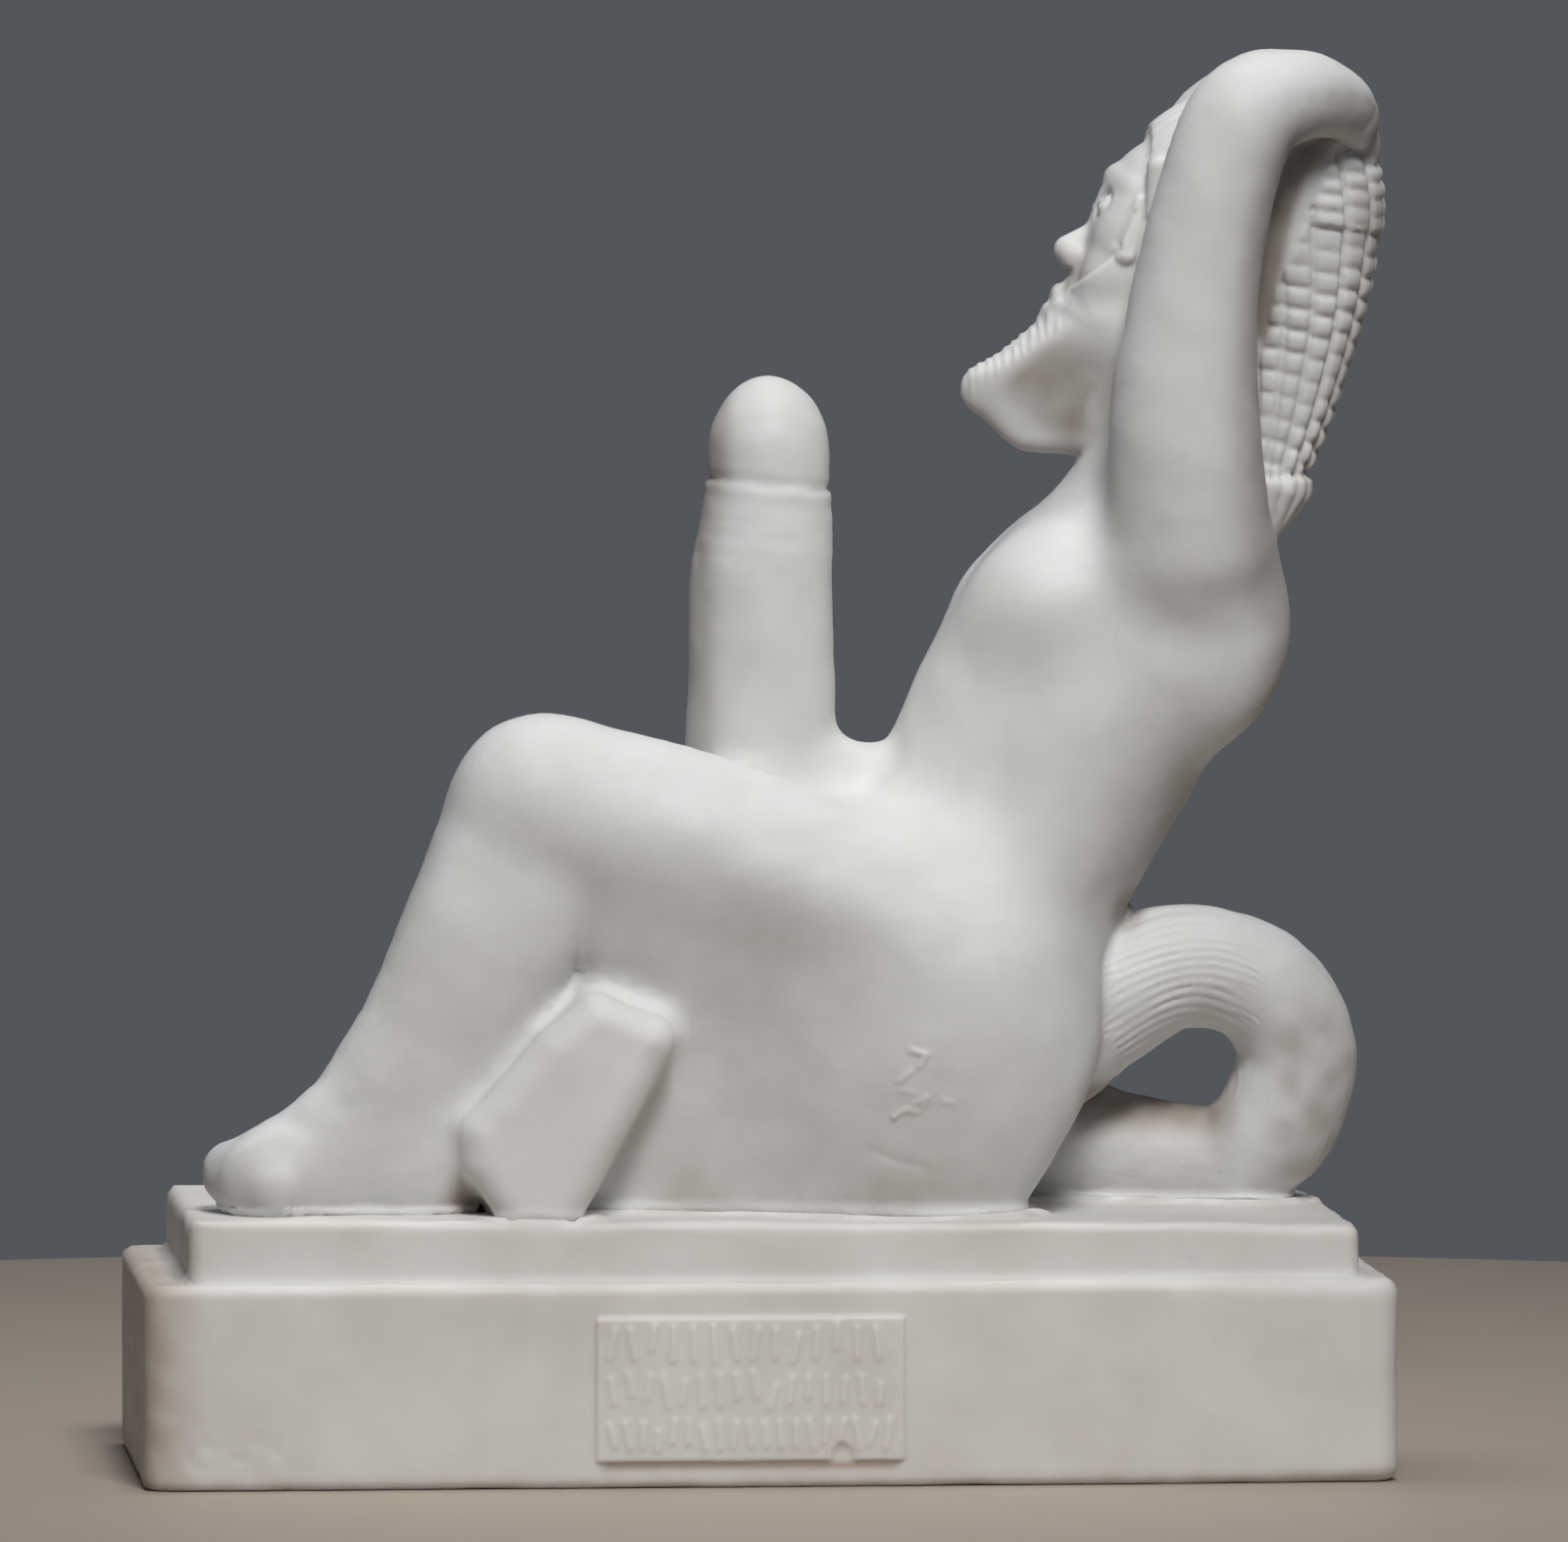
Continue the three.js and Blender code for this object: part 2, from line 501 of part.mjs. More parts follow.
// Thins a closed mesh to about the wanted number of triangles. Edges collapse cheapest first,
// as the summed squares of the distances to the planes around them price them, so flat skin
// loses its triangles and carving keeps them.
function thin({ positions, triangles }, wanted) {
  const faces = Int32Array.from(triangles);
  const alive = new Uint8Array(faces.length / 3).fill(1);
  const rings = Array.from({ length: positions.length / 3 }, () => []);
  const stamps = new Uint32Array(rings.length);
  const quadrics = new Float64Array(rings.length * 10);
  faces.forEach((v, i) => rings[v].push(Math.floor(i / 3)));

  // The normal of a face, as long as its doubled area, into target; one corner can be moved.
  const point = new Float64Array(9);
  const normalOf = (face, target, moved = -1, place = null) => {
    for (let n = 0; n < 3; n++) {
      const v = faces[3 * face + n];
      const [source, start] = v === moved ? [place, 0] : [positions, 3 * v];
      for (let i = 0; i < 3; i++) point[3 * n + i] = source[start + i];
    }
    const [ux, uy, uz] = [point[3] - point[0], point[4] - point[1], point[5] - point[2]];
    const [vx, vy, vz] = [point[6] - point[0], point[7] - point[1], point[8] - point[2]];
    target[0] = uy * vz - uz * vy;
    target[1] = uz * vx - ux * vz;
    target[2] = ux * vy - uy * vx;
    return Math.hypot(target[0], target[1], target[2]);
  };

  const normal = new Float64Array(3);
  for (let f = 0; f < alive.length; f++) {
    const area2 = normalOf(f, normal) || 1e-12;
    const [a, b, c] = normal.map((n) => n / area2);
    const d = -(a * point[0] + b * point[1] + c * point[2]);
    const terms = [a * a, a * b, a * c, a * d, b * b, b * c, b * d, c * c, c * d, d * d];
    for (let n = 0; n < 3; n++) {
      const start = 10 * faces[3 * f + n];
      for (let i = 0; i < 10; i++) quadrics[start + i] += terms[i] * area2;
    }
  }

  // The price of collapsing an edge; the best place for its new corner is left in spot.
  const q = new Float64Array(10);
  const spot = new Float64Array(3);
  const errorAt = (x, y, z) => q[0] * x * x + q[4] * y * y + q[7] * z * z + q[9]
    + 2 * (q[1] * x * y + q[2] * x * z + q[5] * y * z + q[3] * x + q[6] * y + q[8] * z);
  const price = (a, b) => {
    for (let i = 0; i < 10; i++) q[i] = quadrics[10 * a + i] + quadrics[10 * b + i];
    const [ax, ay, az] = [positions[3 * a], positions[3 * a + 1], positions[3 * a + 2]];
    const [bx, by, bz] = [positions[3 * b], positions[3 * b + 1], positions[3 * b + 2]];
    const [mx, my, mz] = [(ax + bx) / 2, (ay + by) / 2, (az + bz) / 2];
    const span = Math.hypot(ax - bx, ay - by, az - bz);
    const c0 = q[4] * q[7] - q[5] * q[5];
    const c1 = q[2] * q[5] - q[1] * q[7];
    const c2 = q[1] * q[5] - q[2] * q[4];
    const c4 = q[0] * q[7] - q[2] * q[2];
    const c5 = q[1] * q[2] - q[0] * q[5];
    const c8 = q[0] * q[4] - q[1] * q[1];
    const det = q[0] * c0 + q[1] * c1 + q[2] * c2;
    let [x, y, z] = [mx, my, mz];
    if (Math.abs(det) > 1e-9 * (q[0] + q[4] + q[7]) ** 3) {
      x = -(c0 * q[3] + c1 * q[6] + c2 * q[8]) / det;
      y = -(c1 * q[3] + c4 * q[6] + c5 * q[8]) / det;
      z = -(c2 * q[3] + c5 * q[6] + c8 * q[8]) / det;
      if (Math.hypot(x - mx, y - my, z - mz) > 1.5 * span) [x, y, z] = [mx, my, mz];
    }
    spot[0] = x;
    spot[1] = y;
    spot[2] = z;
    return Math.max(0, errorAt(x, y, z)) + 2e-4 * span * span;
  };

  // Edges wait in a heap, cheapest on top; one whose corners have changed since is skipped.
  const heap = [];
  const offer = (a, b) => {
    const entry = { cost: price(a, b), a, b, stampA: stamps[a], stampB: stamps[b] };
    let i = heap.push(entry) - 1;
    while (i > 0 && heap[(i - 1) >> 1].cost > entry.cost) {
      heap[i] = heap[(i - 1) >> 1];
      i = (i - 1) >> 1;
    }
    heap[i] = entry;
  };
  const takeCheapest = () => {
    const top = heap[0];
    const last = heap.pop();
    if (heap.length === 0) return top;
    let i = 0;
    for (let next = 1; next < heap.length; next = 2 * i + 1) {
      if (next + 1 < heap.length && heap[next + 1].cost < heap[next].cost) next += 1;
      if (heap[next].cost >= last.cost) break;
      heap[i] = heap[next];
      i = next;
    }
    heap[i] = last;
    return top;
  };
  for (let f = 0; f < alive.length; f++) {
    for (let n = 0; n < 3; n++) {
      const [a, b] = [faces[3 * f + n], faces[3 * f + ((n + 1) % 3)]];
      if (a < b) offer(a, b);
    }
  }

  const neighbours = (v) => {
    const found = [];
    for (const f of rings[v]) {
      for (let n = 3 * f; n < 3 * f + 3; n++) {
        if (faces[n] !== v && !found.includes(faces[n])) found.push(faces[n]);
      }
    }
    return found;
  };
  const has = (f, v) => faces[3 * f] === v || faces[3 * f + 1] === v || faces[3 * f + 2] === v;
  const [before, after] = [new Float64Array(3), new Float64Array(3)];
  const keepsFacing = (v, other) => rings[v].every((f) => {
    if (has(f, other)) return true;
    const sizes = normalOf(f, before) * normalOf(f, after, v, spot);
    return sizes > 1e-9
      && before[0] * after[0] + before[1] * after[1] + before[2] * after[2] > 0.25 * sizes;
  });

  let left = alive.length;
  while (left > wanted && heap.length) {
    const { a, b, stampA, stampB } = takeCheapest();
    if (!rings[a] || !rings[b] || stamps[a] !== stampA || stamps[b] !== stampB) continue;
    const around = neighbours(a);
    const shared = neighbours(b).filter((v) => around.includes(v));
    if (shared.length !== 2) continue;
    price(a, b);
    if (!keepsFacing(a, b) || !keepsFacing(b, a)) continue;
    positions.set(spot, 3 * a);
    quadrics.set(q, 10 * a);
    for (const f of rings[b]) {
      if (has(f, a)) {
        alive[f] = 0;
        left -= 1;
      } else {
        for (let n = 3 * f; n < 3 * f + 3; n++) if (faces[n] === b) faces[n] = a;
        rings[a].push(f);
      }
    }
    rings[b] = null;
    stamps[a] += 1;
    rings[a] = rings[a].filter((f) => alive[f]);
    for (const v of shared) rings[v] = rings[v].filter((f) => alive[f]);
    for (const v of neighbours(a)) offer(a, v);
  }

  const numbers = new Map();
  const points = [];
  const index = [];
  for (let f = 0; f < alive.length; f++) {
    if (!alive[f]) continue;
    for (const v of faces.subarray(3 * f, 3 * f + 3)) {
      if (!numbers.has(v)) {
        numbers.set(v, numbers.size);
        points.push(...positions.subarray(3 * v, 3 * v + 3));
      }
      index.push(numbers.get(v));
    }
  }
  return { positions: points, triangles: index };
}

// Solids

function solidOf(positions, triangles) {
  const mesh = new wasm.Mesh({
    numProp: 3,
    vertProperties: Float32Array.from(positions),
    triVerts: Uint32Array.from(triangles),
  });
  mesh.merge();
  return new wasm.Manifold(mesh);
}

function solidFrom(geometry) {
  const bare = new THREE.BufferGeometry();
  bare.setAttribute("position", geometry.getAttribute("position"));
  if (geometry.index) bare.setIndex(geometry.index);
  const merged = mergeVertices(bare, 1e-4);
  return solidOf(merged.getAttribute("position").array, merged.index.array);
}

function geometryOf(solid) {
  const mesh = solid.getMesh();
  const geometry = new THREE.BufferGeometry();
  geometry.setAttribute("position", new THREE.BufferAttribute(mesh.vertProperties, 3));
  geometry.setIndex(new THREE.BufferAttribute(mesh.triVerts, 1));
  geometry.computeVertexNormals();
  return geometry;
}

// Lets a form's level faces drop along x as the slab's top does.
function sloped(geometry) {
  return geometry.applyMatrix4(new THREE.Matrix4().makeShear(0, -SLAB_SLOPE, 0, 0, 0, 0));
}

// An upright block with rounded corners and a softened top edge, standing on the given height.
function tier({ length, depth, height, corner, edge }, z) {
  const [a, b] = [length / 2 - edge - corner, depth / 2 - edge - corner];
  const outline = new THREE.Shape();
  const turn = Math.PI / 2;
  [[a, b], [-a, b], [-a, -b], [a, -b]].forEach(([x, ySide], i) => {
    outline.absarc(x, ySide, corner, i * turn, (i + 1) * turn, false);
  });
  const block = new THREE.ExtrudeGeometry(outline, {
    depth: height - edge,
    curveSegments: 3,
    bevelEnabled: true,
    bevelThickness: edge,
    bevelSize: edge,
    bevelSegments: 2,
  });
  return block.translate(0, 0, z);
}

function plinth() {
  const front = -BASE.depth / 2;
  const block = tier({ ...BASE, depth: BASE.depth - PLAQUE.proud }, 0);
  block.translate(0, PLAQUE.proud / 2, 0);
  const below = new THREE.BoxGeometry(2 * BASE.length, 2 * BASE.depth, 8);
  below.translate(0, 0, -4);
  const slab = tier({ ...SLAB, height: SLAB.height + 3 }, BASE.height - 3);
  slab.translate(SLAB.x, 0, 0);
  const panel = new THREE.BoxGeometry(PLAQUE.length, PLAQUE.proud + 1, PLAQUE.height);
  panel.translate(PLAQUE.x, front + (PLAQUE.proud + 1) / 2, PLAQUE.z);
  return solidFrom(block)
    .subtract(solidFrom(below))
    .add(solidFrom(sloped(slab)))
    .add(solidFrom(panel));
}

function sculpted(field, { step, triangles, low, high }) {
  const skin = thin(surfaceOf(field, low, high, step), triangles);
  return solidOf(skin.positions, skin.triangles);
}

function satyr() {
  const ground = new THREE.BoxGeometry(200, 120, 40);
  ground.translate(0, 0, SLAB_TOP + BEDDING - 20);
  const head = onNeck(blend(0.8, blend(2.5, face(), beard()), cap()));
  return sculpted(body(), BODY_MESH)
    .add(sculpted(head, HEAD_MESH))
    .add(sculpted(hands(), HANDS_MESH))
    .add(beads())
    .subtract(solidFrom(sloped(ground)));
}

function piece(name, solid, color) {
  const material = new THREE.MeshStandardMaterial({ color, roughness: 0.5, metalness: 0 });
  material.name = "cast alabaster";
  const mesh = new THREE.Mesh(geometryOf(solid), material);
  mesh.name = name;
  return mesh;
}

const statuette = new THREE.Group();
statuette.name = "satyr statuette";
statuette.add(piece("satyr", satyr(), "#e3ddd3"), piece("plinth", plinth(), "#ddd3c8"));

export default statuette;
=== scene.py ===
"""Satyr statuette, cast in white alabaster on a two-step plinth: the finished look of the part.

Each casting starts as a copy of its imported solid. The copy is remeshed into even quads, split
finer where the carving is fine, laid onto a distance field that holds the true forms, and then
given the relief that the knife, the mould and the years have left. Sizes are in millimetres.
"""

import logging
import math
from abc import ABC, abstractmethod
from collections.abc import Callable, Iterator, Sequence
from contextlib import contextmanager
from dataclasses import dataclass
from enum import Enum

import bmesh
import bpy
import numpy as np
from mathutils import Matrix, Vector


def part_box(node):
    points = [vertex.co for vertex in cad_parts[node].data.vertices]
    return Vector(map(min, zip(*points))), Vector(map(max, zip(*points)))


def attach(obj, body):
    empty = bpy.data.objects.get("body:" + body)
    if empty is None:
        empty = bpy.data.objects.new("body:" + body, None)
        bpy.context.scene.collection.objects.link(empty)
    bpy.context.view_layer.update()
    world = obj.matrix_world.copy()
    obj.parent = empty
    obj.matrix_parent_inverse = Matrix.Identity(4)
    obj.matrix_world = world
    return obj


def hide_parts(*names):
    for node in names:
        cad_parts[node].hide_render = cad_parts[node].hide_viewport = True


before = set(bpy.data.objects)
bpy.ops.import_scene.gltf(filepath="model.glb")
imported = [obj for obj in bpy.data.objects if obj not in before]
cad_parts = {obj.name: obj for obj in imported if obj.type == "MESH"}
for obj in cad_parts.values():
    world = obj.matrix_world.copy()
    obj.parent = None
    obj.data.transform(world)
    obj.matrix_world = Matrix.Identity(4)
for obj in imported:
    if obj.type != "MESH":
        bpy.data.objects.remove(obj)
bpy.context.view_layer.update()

LOG = logging.getLogger("satyr")
MM = 0.001
SLAB_TOP = 30.85  # height of the slab's top at the plinth's middle
SLAB_SLOPE = 0.0099  # how much the slab's top drops along x

Array = np.ndarray
Point = Sequence[float]
Field = Callable[[Array], Array]
Socket = bpy.types.NodeSocket


# Fields: arrays of points in, distances out, negative inside


def length_of(vectors: Array) -> Array:
    """Lengths of the rows of an array of vectors."""
    return np.sqrt(np.einsum("ij,ij->i", vectors, vectors))


def limb(a: Point, b: Point, ra: float, rb: float, side: float = 1.0) -> Field:
    """A tapering limb with round ends.

    Args:
        a: Middle of its first end.
        b: Middle of its second end.
        ra: Radius at a.
        rb: Radius at b.
        side: How much wider its sections are across the body.

    Returns:
        The limb's field.
    """
    start = np.array(a, float)
    squeeze = np.array([1.0, 1 / side, 1.0])
    way = (np.array(b, float) - start) * squeeze
    span = float(way @ way)

    def field(p: Array) -> Array:
        """Distance to the limb."""
        q = (p - start) * squeeze
        t = np.clip(q @ way / span, 0, 1)
        return length_of(q - t[:, None] * way) - ra - (rb - ra) * t

    return field


def egg(centre: Point, radii: Point, tilt: float = 0.0) -> Field:
    """An ellipsoid, leaned back by tilt in the plane of the profile.

    Args:
        centre: Its middle.
        radii: Its radii along x, y and z.
        tilt: Its lean in radians.

    Returns:
        The ellipsoid's field.
    """
    middle, size = np.array(centre, float), np.array(radii, float)
    cos, sin = math.cos(tilt), math.sin(tilt)
    turn = np.array([[cos, 0, -sin], [0, 1, 0], [sin, 0, cos]])

    def field(p: Array) -> Array:
        """Distance to the ellipsoid, to first order."""
        q = (p - middle) @ turn.T / size
        near = length_of(q)
        slope = np.maximum(length_of(q / size), 1e-9)
        return np.where(near < 1e-6, -size.min(), near * (near - 1) / slope)

    return field


def smooth_line(stations: Sequence[Point], steps: int) -> Array:
    """Points on the smooth curve through the stations, all their numbers along together.

    Args:
        stations: Rows of numbers, such as x, y, z and radius.
        steps: Points from one station to the next.

    Returns:
        The points, one row each.
    """
    s = np.array(stations, float)
    s = np.vstack([2 * s[0] - s[1], s, 2 * s[-1] - s[-2]])
    rows = []
    for a, b, c, d in zip(s, s[1:], s[2:], s[3:]):
        for t in np.arange(steps) / steps:
            u, v = (c - a) / 2, (d - b) / 2
            rows.append(b + u * t + (3 * (c - b) - 2 * u - v) * t**2 + (2 * (b - c) + u + v) * t**3)
    return np.vstack([*rows, s[-2]])


def tube(stations: Sequence[Point], side: float = 1.0, steps: int = 6) -> Field:
    """A limb along a smooth curve.

    Args:
        stations: Rows of x, y, z and radius.
        side: How much wider its sections are across the body.
        steps: Straight pieces from one station to the next.

    Returns:
        The tube's field.
    """
    line = smooth_line(stations, steps)
    pieces = [limb(p[:3], q[:3], p[3], q[3], side) for p, q in zip(line, line[1:])]

    def field(p: Array) -> Array:
        """Distance to the nearest piece."""
        best = pieces[0](p)
        for piece in pieces[1:]:
            best = np.minimum(best, piece(p))
        return best

    return field


def blend(k: float, *fields: Field) -> Field:
    """Melts fields into one, with a fillet about k wide where they meet."""

    def field(p: Array) -> Array:
        """Distance to the melted form."""
        d = fields[0](p)
        for other in fields[1:]:
            e = other(p)
            h = np.maximum(k - np.abs(d - e), 0)
            d = np.minimum(d, e) - h * h / (4 * k)
        return d

    return field


def carve(k: float, form: Field, tool: Field) -> Field:
    """Takes the tool away from the form and rounds the new edge by about k."""
    rest = blend(k, lambda p: -form(p), tool)
    return lambda p: -rest(p)


def paired(form: Field) -> Field:
    """The same on both sides of the body; the form is given where y is positive."""
    return lambda p: form(np.column_stack([p[:, 0], np.abs(p[:, 1]), p[:, 2]]))


def within(centre: Point, reach: float, form: Field) -> Field:
    """Leaves a form out where it is too far away to matter.

    Args:
        centre: Middle of the ball that holds the form.
        reach: Radius of that ball.
        form: The form.

    Returns:
        The form's field, coarse away from it.
    """
    skip = 7.0
    middle = np.array(centre, float)

    def field(p: Array) -> Array:
        """Distance to the form, or to its ball where that is far."""
        away = length_of(p - middle) - reach
        near = away <= skip
        if near.any():
            away[near] = form(p[near])
        return away

    return field


def grounded(height: float, form: Field) -> Field:
    """Lets the form's sides run straight down from the given height."""
    return lambda p: form(np.column_stack([p[:, :2], np.maximum(p[:, 2], height)]))


def prism(outline: Sequence[Point], low: float, high: float, corner: float, edge: float) -> Field:
    """A flat-sided form between two upright planes across the body, with rounded edges.

    Args:
        outline: The corners of its outline as x and z, before they are rounded outwards.
        low: Its near plane's y.
        high: Its far plane's y.
        corner: How far the outline is rounded outwards.
        edge: Radius of the edges round its two planes.

    Returns:
        The prism's field.
    """
    corners = [np.array(c, float) for c in outline]

    def field(p: Array) -> Array:
        """Distance to the prism."""
        x, z = p[:, 0], p[:, 2]
        best, inside = np.full(len(p), 1e9), np.zeros(len(p), bool)
        for a, b in zip([corners[-1], *corners], corners):
            way, px, pz = b - a, x - a[0], z - a[1]
            t = np.clip((px * way[0] + pz * way[1]) / (way @ way), 0, 1)
            best = np.minimum(best, np.hypot(px - way[0] * t, pz - way[1] * t))
            if way[1]:
                inside ^= ((a[1] > z) != (b[1] > z)) & (px < way[0] * pz / way[1])
        flat = np.where(inside, -best, best) - corner + edge
        deep = np.abs(p[:, 1] - (low + high) / 2) - (high - low) / 2 + edge
        return join_walls(flat, deep, edge)

    return field


def block(middle: Point, half: Point, corner: float, edge: Field) -> Field:
    """A block with rounded upright corners and edges.

    Args:
        middle: Its middle.
        half: Half its sides.
        corner: Radius of its upright corners.
        edge: Radius of its other edges at each point.

    Returns:
        The block's field.
    """

    def field(p: Array) -> Array:
        """Distance to the block."""
        r = edge(p)
        x, y, z = (np.abs(p - middle) - half).T
        wall = join_walls(x + corner, y + corner, corner) + r
        return join_walls(wall, z + r, r)

    return field


def join_walls(a: Array, b: Array, edge: float | Array) -> Array:
    """Distance to the form inside two walls, whose distances are given less the edge's radius."""
    out = np.hypot(np.maximum(a, 0), np.maximum(b, 0))
    return out + np.minimum(np.maximum(a, b), 0) - edge


def unslope(p: Array) -> Array:
    """The points with their heights as if the slab's top were level."""
    return np.column_stack([p[:, :2], p[:, 2] + SLAB_SLOPE * p[:, 0]])


def ease(value: Array) -> Array:
    """Turns 0 to 1 into a smooth rise from 0 to 1."""
    t = np.clip(value, 0, 1)
    return t * t * (3 - 2 * t)


def zone(*limits: tuple) -> Array:
    """How fully points lie in a zone, from 0 to 1.

    Args:
        limits: Values, with where each comes into the zone and how far it takes to fill.

    Returns:
        The product of the eased values.
    """
    return math.prod(ease((value - start) / fill) for value, start, fill in limits)


def hump(value: Array, width: float) -> Array:
    """A smooth hump of about that width, 1 high where the value is 0."""
    return np.exp(-((value / width) ** 2))


def share_of(part: Array, whole: Array, fade: float = 0.5) -> Array:
    """How much of the surface belongs to a part, from its field's values and the whole's."""
    return 1 - ease((part - whole) / fade)


def along_line(p: Array, ends: Sequence[Point]) -> Array:
    """Distance, seen from the side, to a bent line of x and z."""
    best = np.full(len(p), 1e9)
    for a, b in zip(ends, ends[1:]):
        way = np.subtract(b, a)
        q = p[:, [0, 2]] - np.array(a, float)
        t = np.clip(q @ way / (way @ way), 0, 1)
        best = np.minimum(best, length_of(q - t[:, None] * way))
    return best


def lumps(p: Array, size: float, seed: int, waves: int = 20) -> Array:
    """Even noise, made of waves about one size that run every way.

    Args:
        p: Points.
        size: Length of a wave.
        seed: Which noise.
        waves: How many waves are summed.

    Returns:
        Values around 0, most of them between -1 and 1.
    """
    rng = np.random.default_rng(seed)
    ways = rng.normal(size=(waves, 3))
    ways *= (2 * math.pi / size * rng.uniform(0.65, 1.5, waves) / length_of(ways))[:, None]
    return np.sin(p @ ways.T + rng.uniform(0, 2 * math.pi, waves)).sum(1) / math.sqrt(2 * waves)


def slope_of(form: Field, p: Array) -> tuple[Array, Array]:
    """Value and slope of a field.

    Args:
        form: The field.
        p: Points.

    Returns:
        The values and the slopes at the points.
    """
    step = 0.06
    ways = np.array([[1, -1, -1], [-1, -1, 1], [-1, 1, -1], [1, 1, 1]], float)
    values = [form(p + step * way) for way in ways]
    slope = sum(v[:, None] * way for v, way in zip(values, ways)) / (4 * step)
    return sum(values) / 4, slope


# The figure


@dataclass(frozen=True)
class Leg:
    """One leg, by the middles of its joints from the hip to the heel."""

    hip: tuple = (20, -12, 58)
    groin: tuple = (5.5, -13.4, 66)
    thigh: tuple = (-9.5, -14.2, 73.2)
    under: tuple = (-14.2, -13.2, 66.2)
    knee: tuple = (-25.6, -14.6, 78.6)
    calf: tuple = (-33.9, -15.4, 61)
    ankle: tuple = (-42.6, -16, 46.5)
    instep: tuple = (-50.3, -16.8, 40)
    ball: tuple = (-58, -17.4, 35.9)
    toes: tuple = (-62.6, -17.6, 36.1)
    heel: tuple = (-40.8, -16.6, 37.5)
    flat: float = 24.0  # where the flat outer side of the lower leg lies across the body

    def upper(self) -> Field:
        """The thigh, deepened underneath."""
        x, y, z = self.under
        line = [[*self.hip, 14.6], [*self.groin, 13.8], [*self.thigh, 12.6], [*self.knee, 11.4]]
        return blend(3, tube(line, 0.92), limb(self.under, [x + 22, y, z - 9], 10.2, 12.5, 0.95))

    def lower(self) -> Field:
        """The lower leg and the foot with its toes, flat on the outer side."""
        out = math.copysign(1, self.toes[1])
        joints = (self.knee, self.calf, self.ankle, self.instep, self.ball)
        shin = tube([[*at, r] for at, r in zip(joints, (11.2, 10.2, 8.2, 6.9, 5.4))], 0.95)
        sole = limb(self.heel, self.ball, 6.4, 5, 1.05)
        sole = blend(3, limb(self.ankle, self.heel, 7.8, 6.7), sole)
        fan = []
        for i in range(5):
            y = self.toes[1] + out * (2.6 * i - 5)
            root = [self.ball[0], self.ball[1] + (y - self.ball[1]) * 0.6, self.ball[2]]
            tip = [self.toes[0] + 0.28 * i * i, y, self.toes[2] - 0.3 * i]
            fan.append(limb(root, tip, 4.6, 3.4 - 0.2 * i, 0.8))
        whole = carve(5, blend(3, shin, sole), lambda p: self.flat - out * p[:, 1])
        return blend(3, whole, *fan)


@dataclass(frozen=True)
class Flank:
    """The sides below the thighs, which draw in towards the slab."""

    foot: float = 17.2  # half their width at the slab
    lean: float = 0.17  # how much they lean out above it
    under: float = 0.3  # how much more from the height of the turn up
    turn: float = 62.0
    soft: float = 8.0  # how soft that turn is
    widen: float = 0.12  # how they widen along x

    def outside(self, p: Array) -> Array:
        """Distance to the space outside both sides."""
        x, y, z = p.T
        rise = (z - self.turn + np.hypot(z - self.turn, self.soft)) / 2
        half = self.foot + self.lean * (z - SLAB_TOP) + self.under * rise
        return half + self.widen * x - np.abs(y)


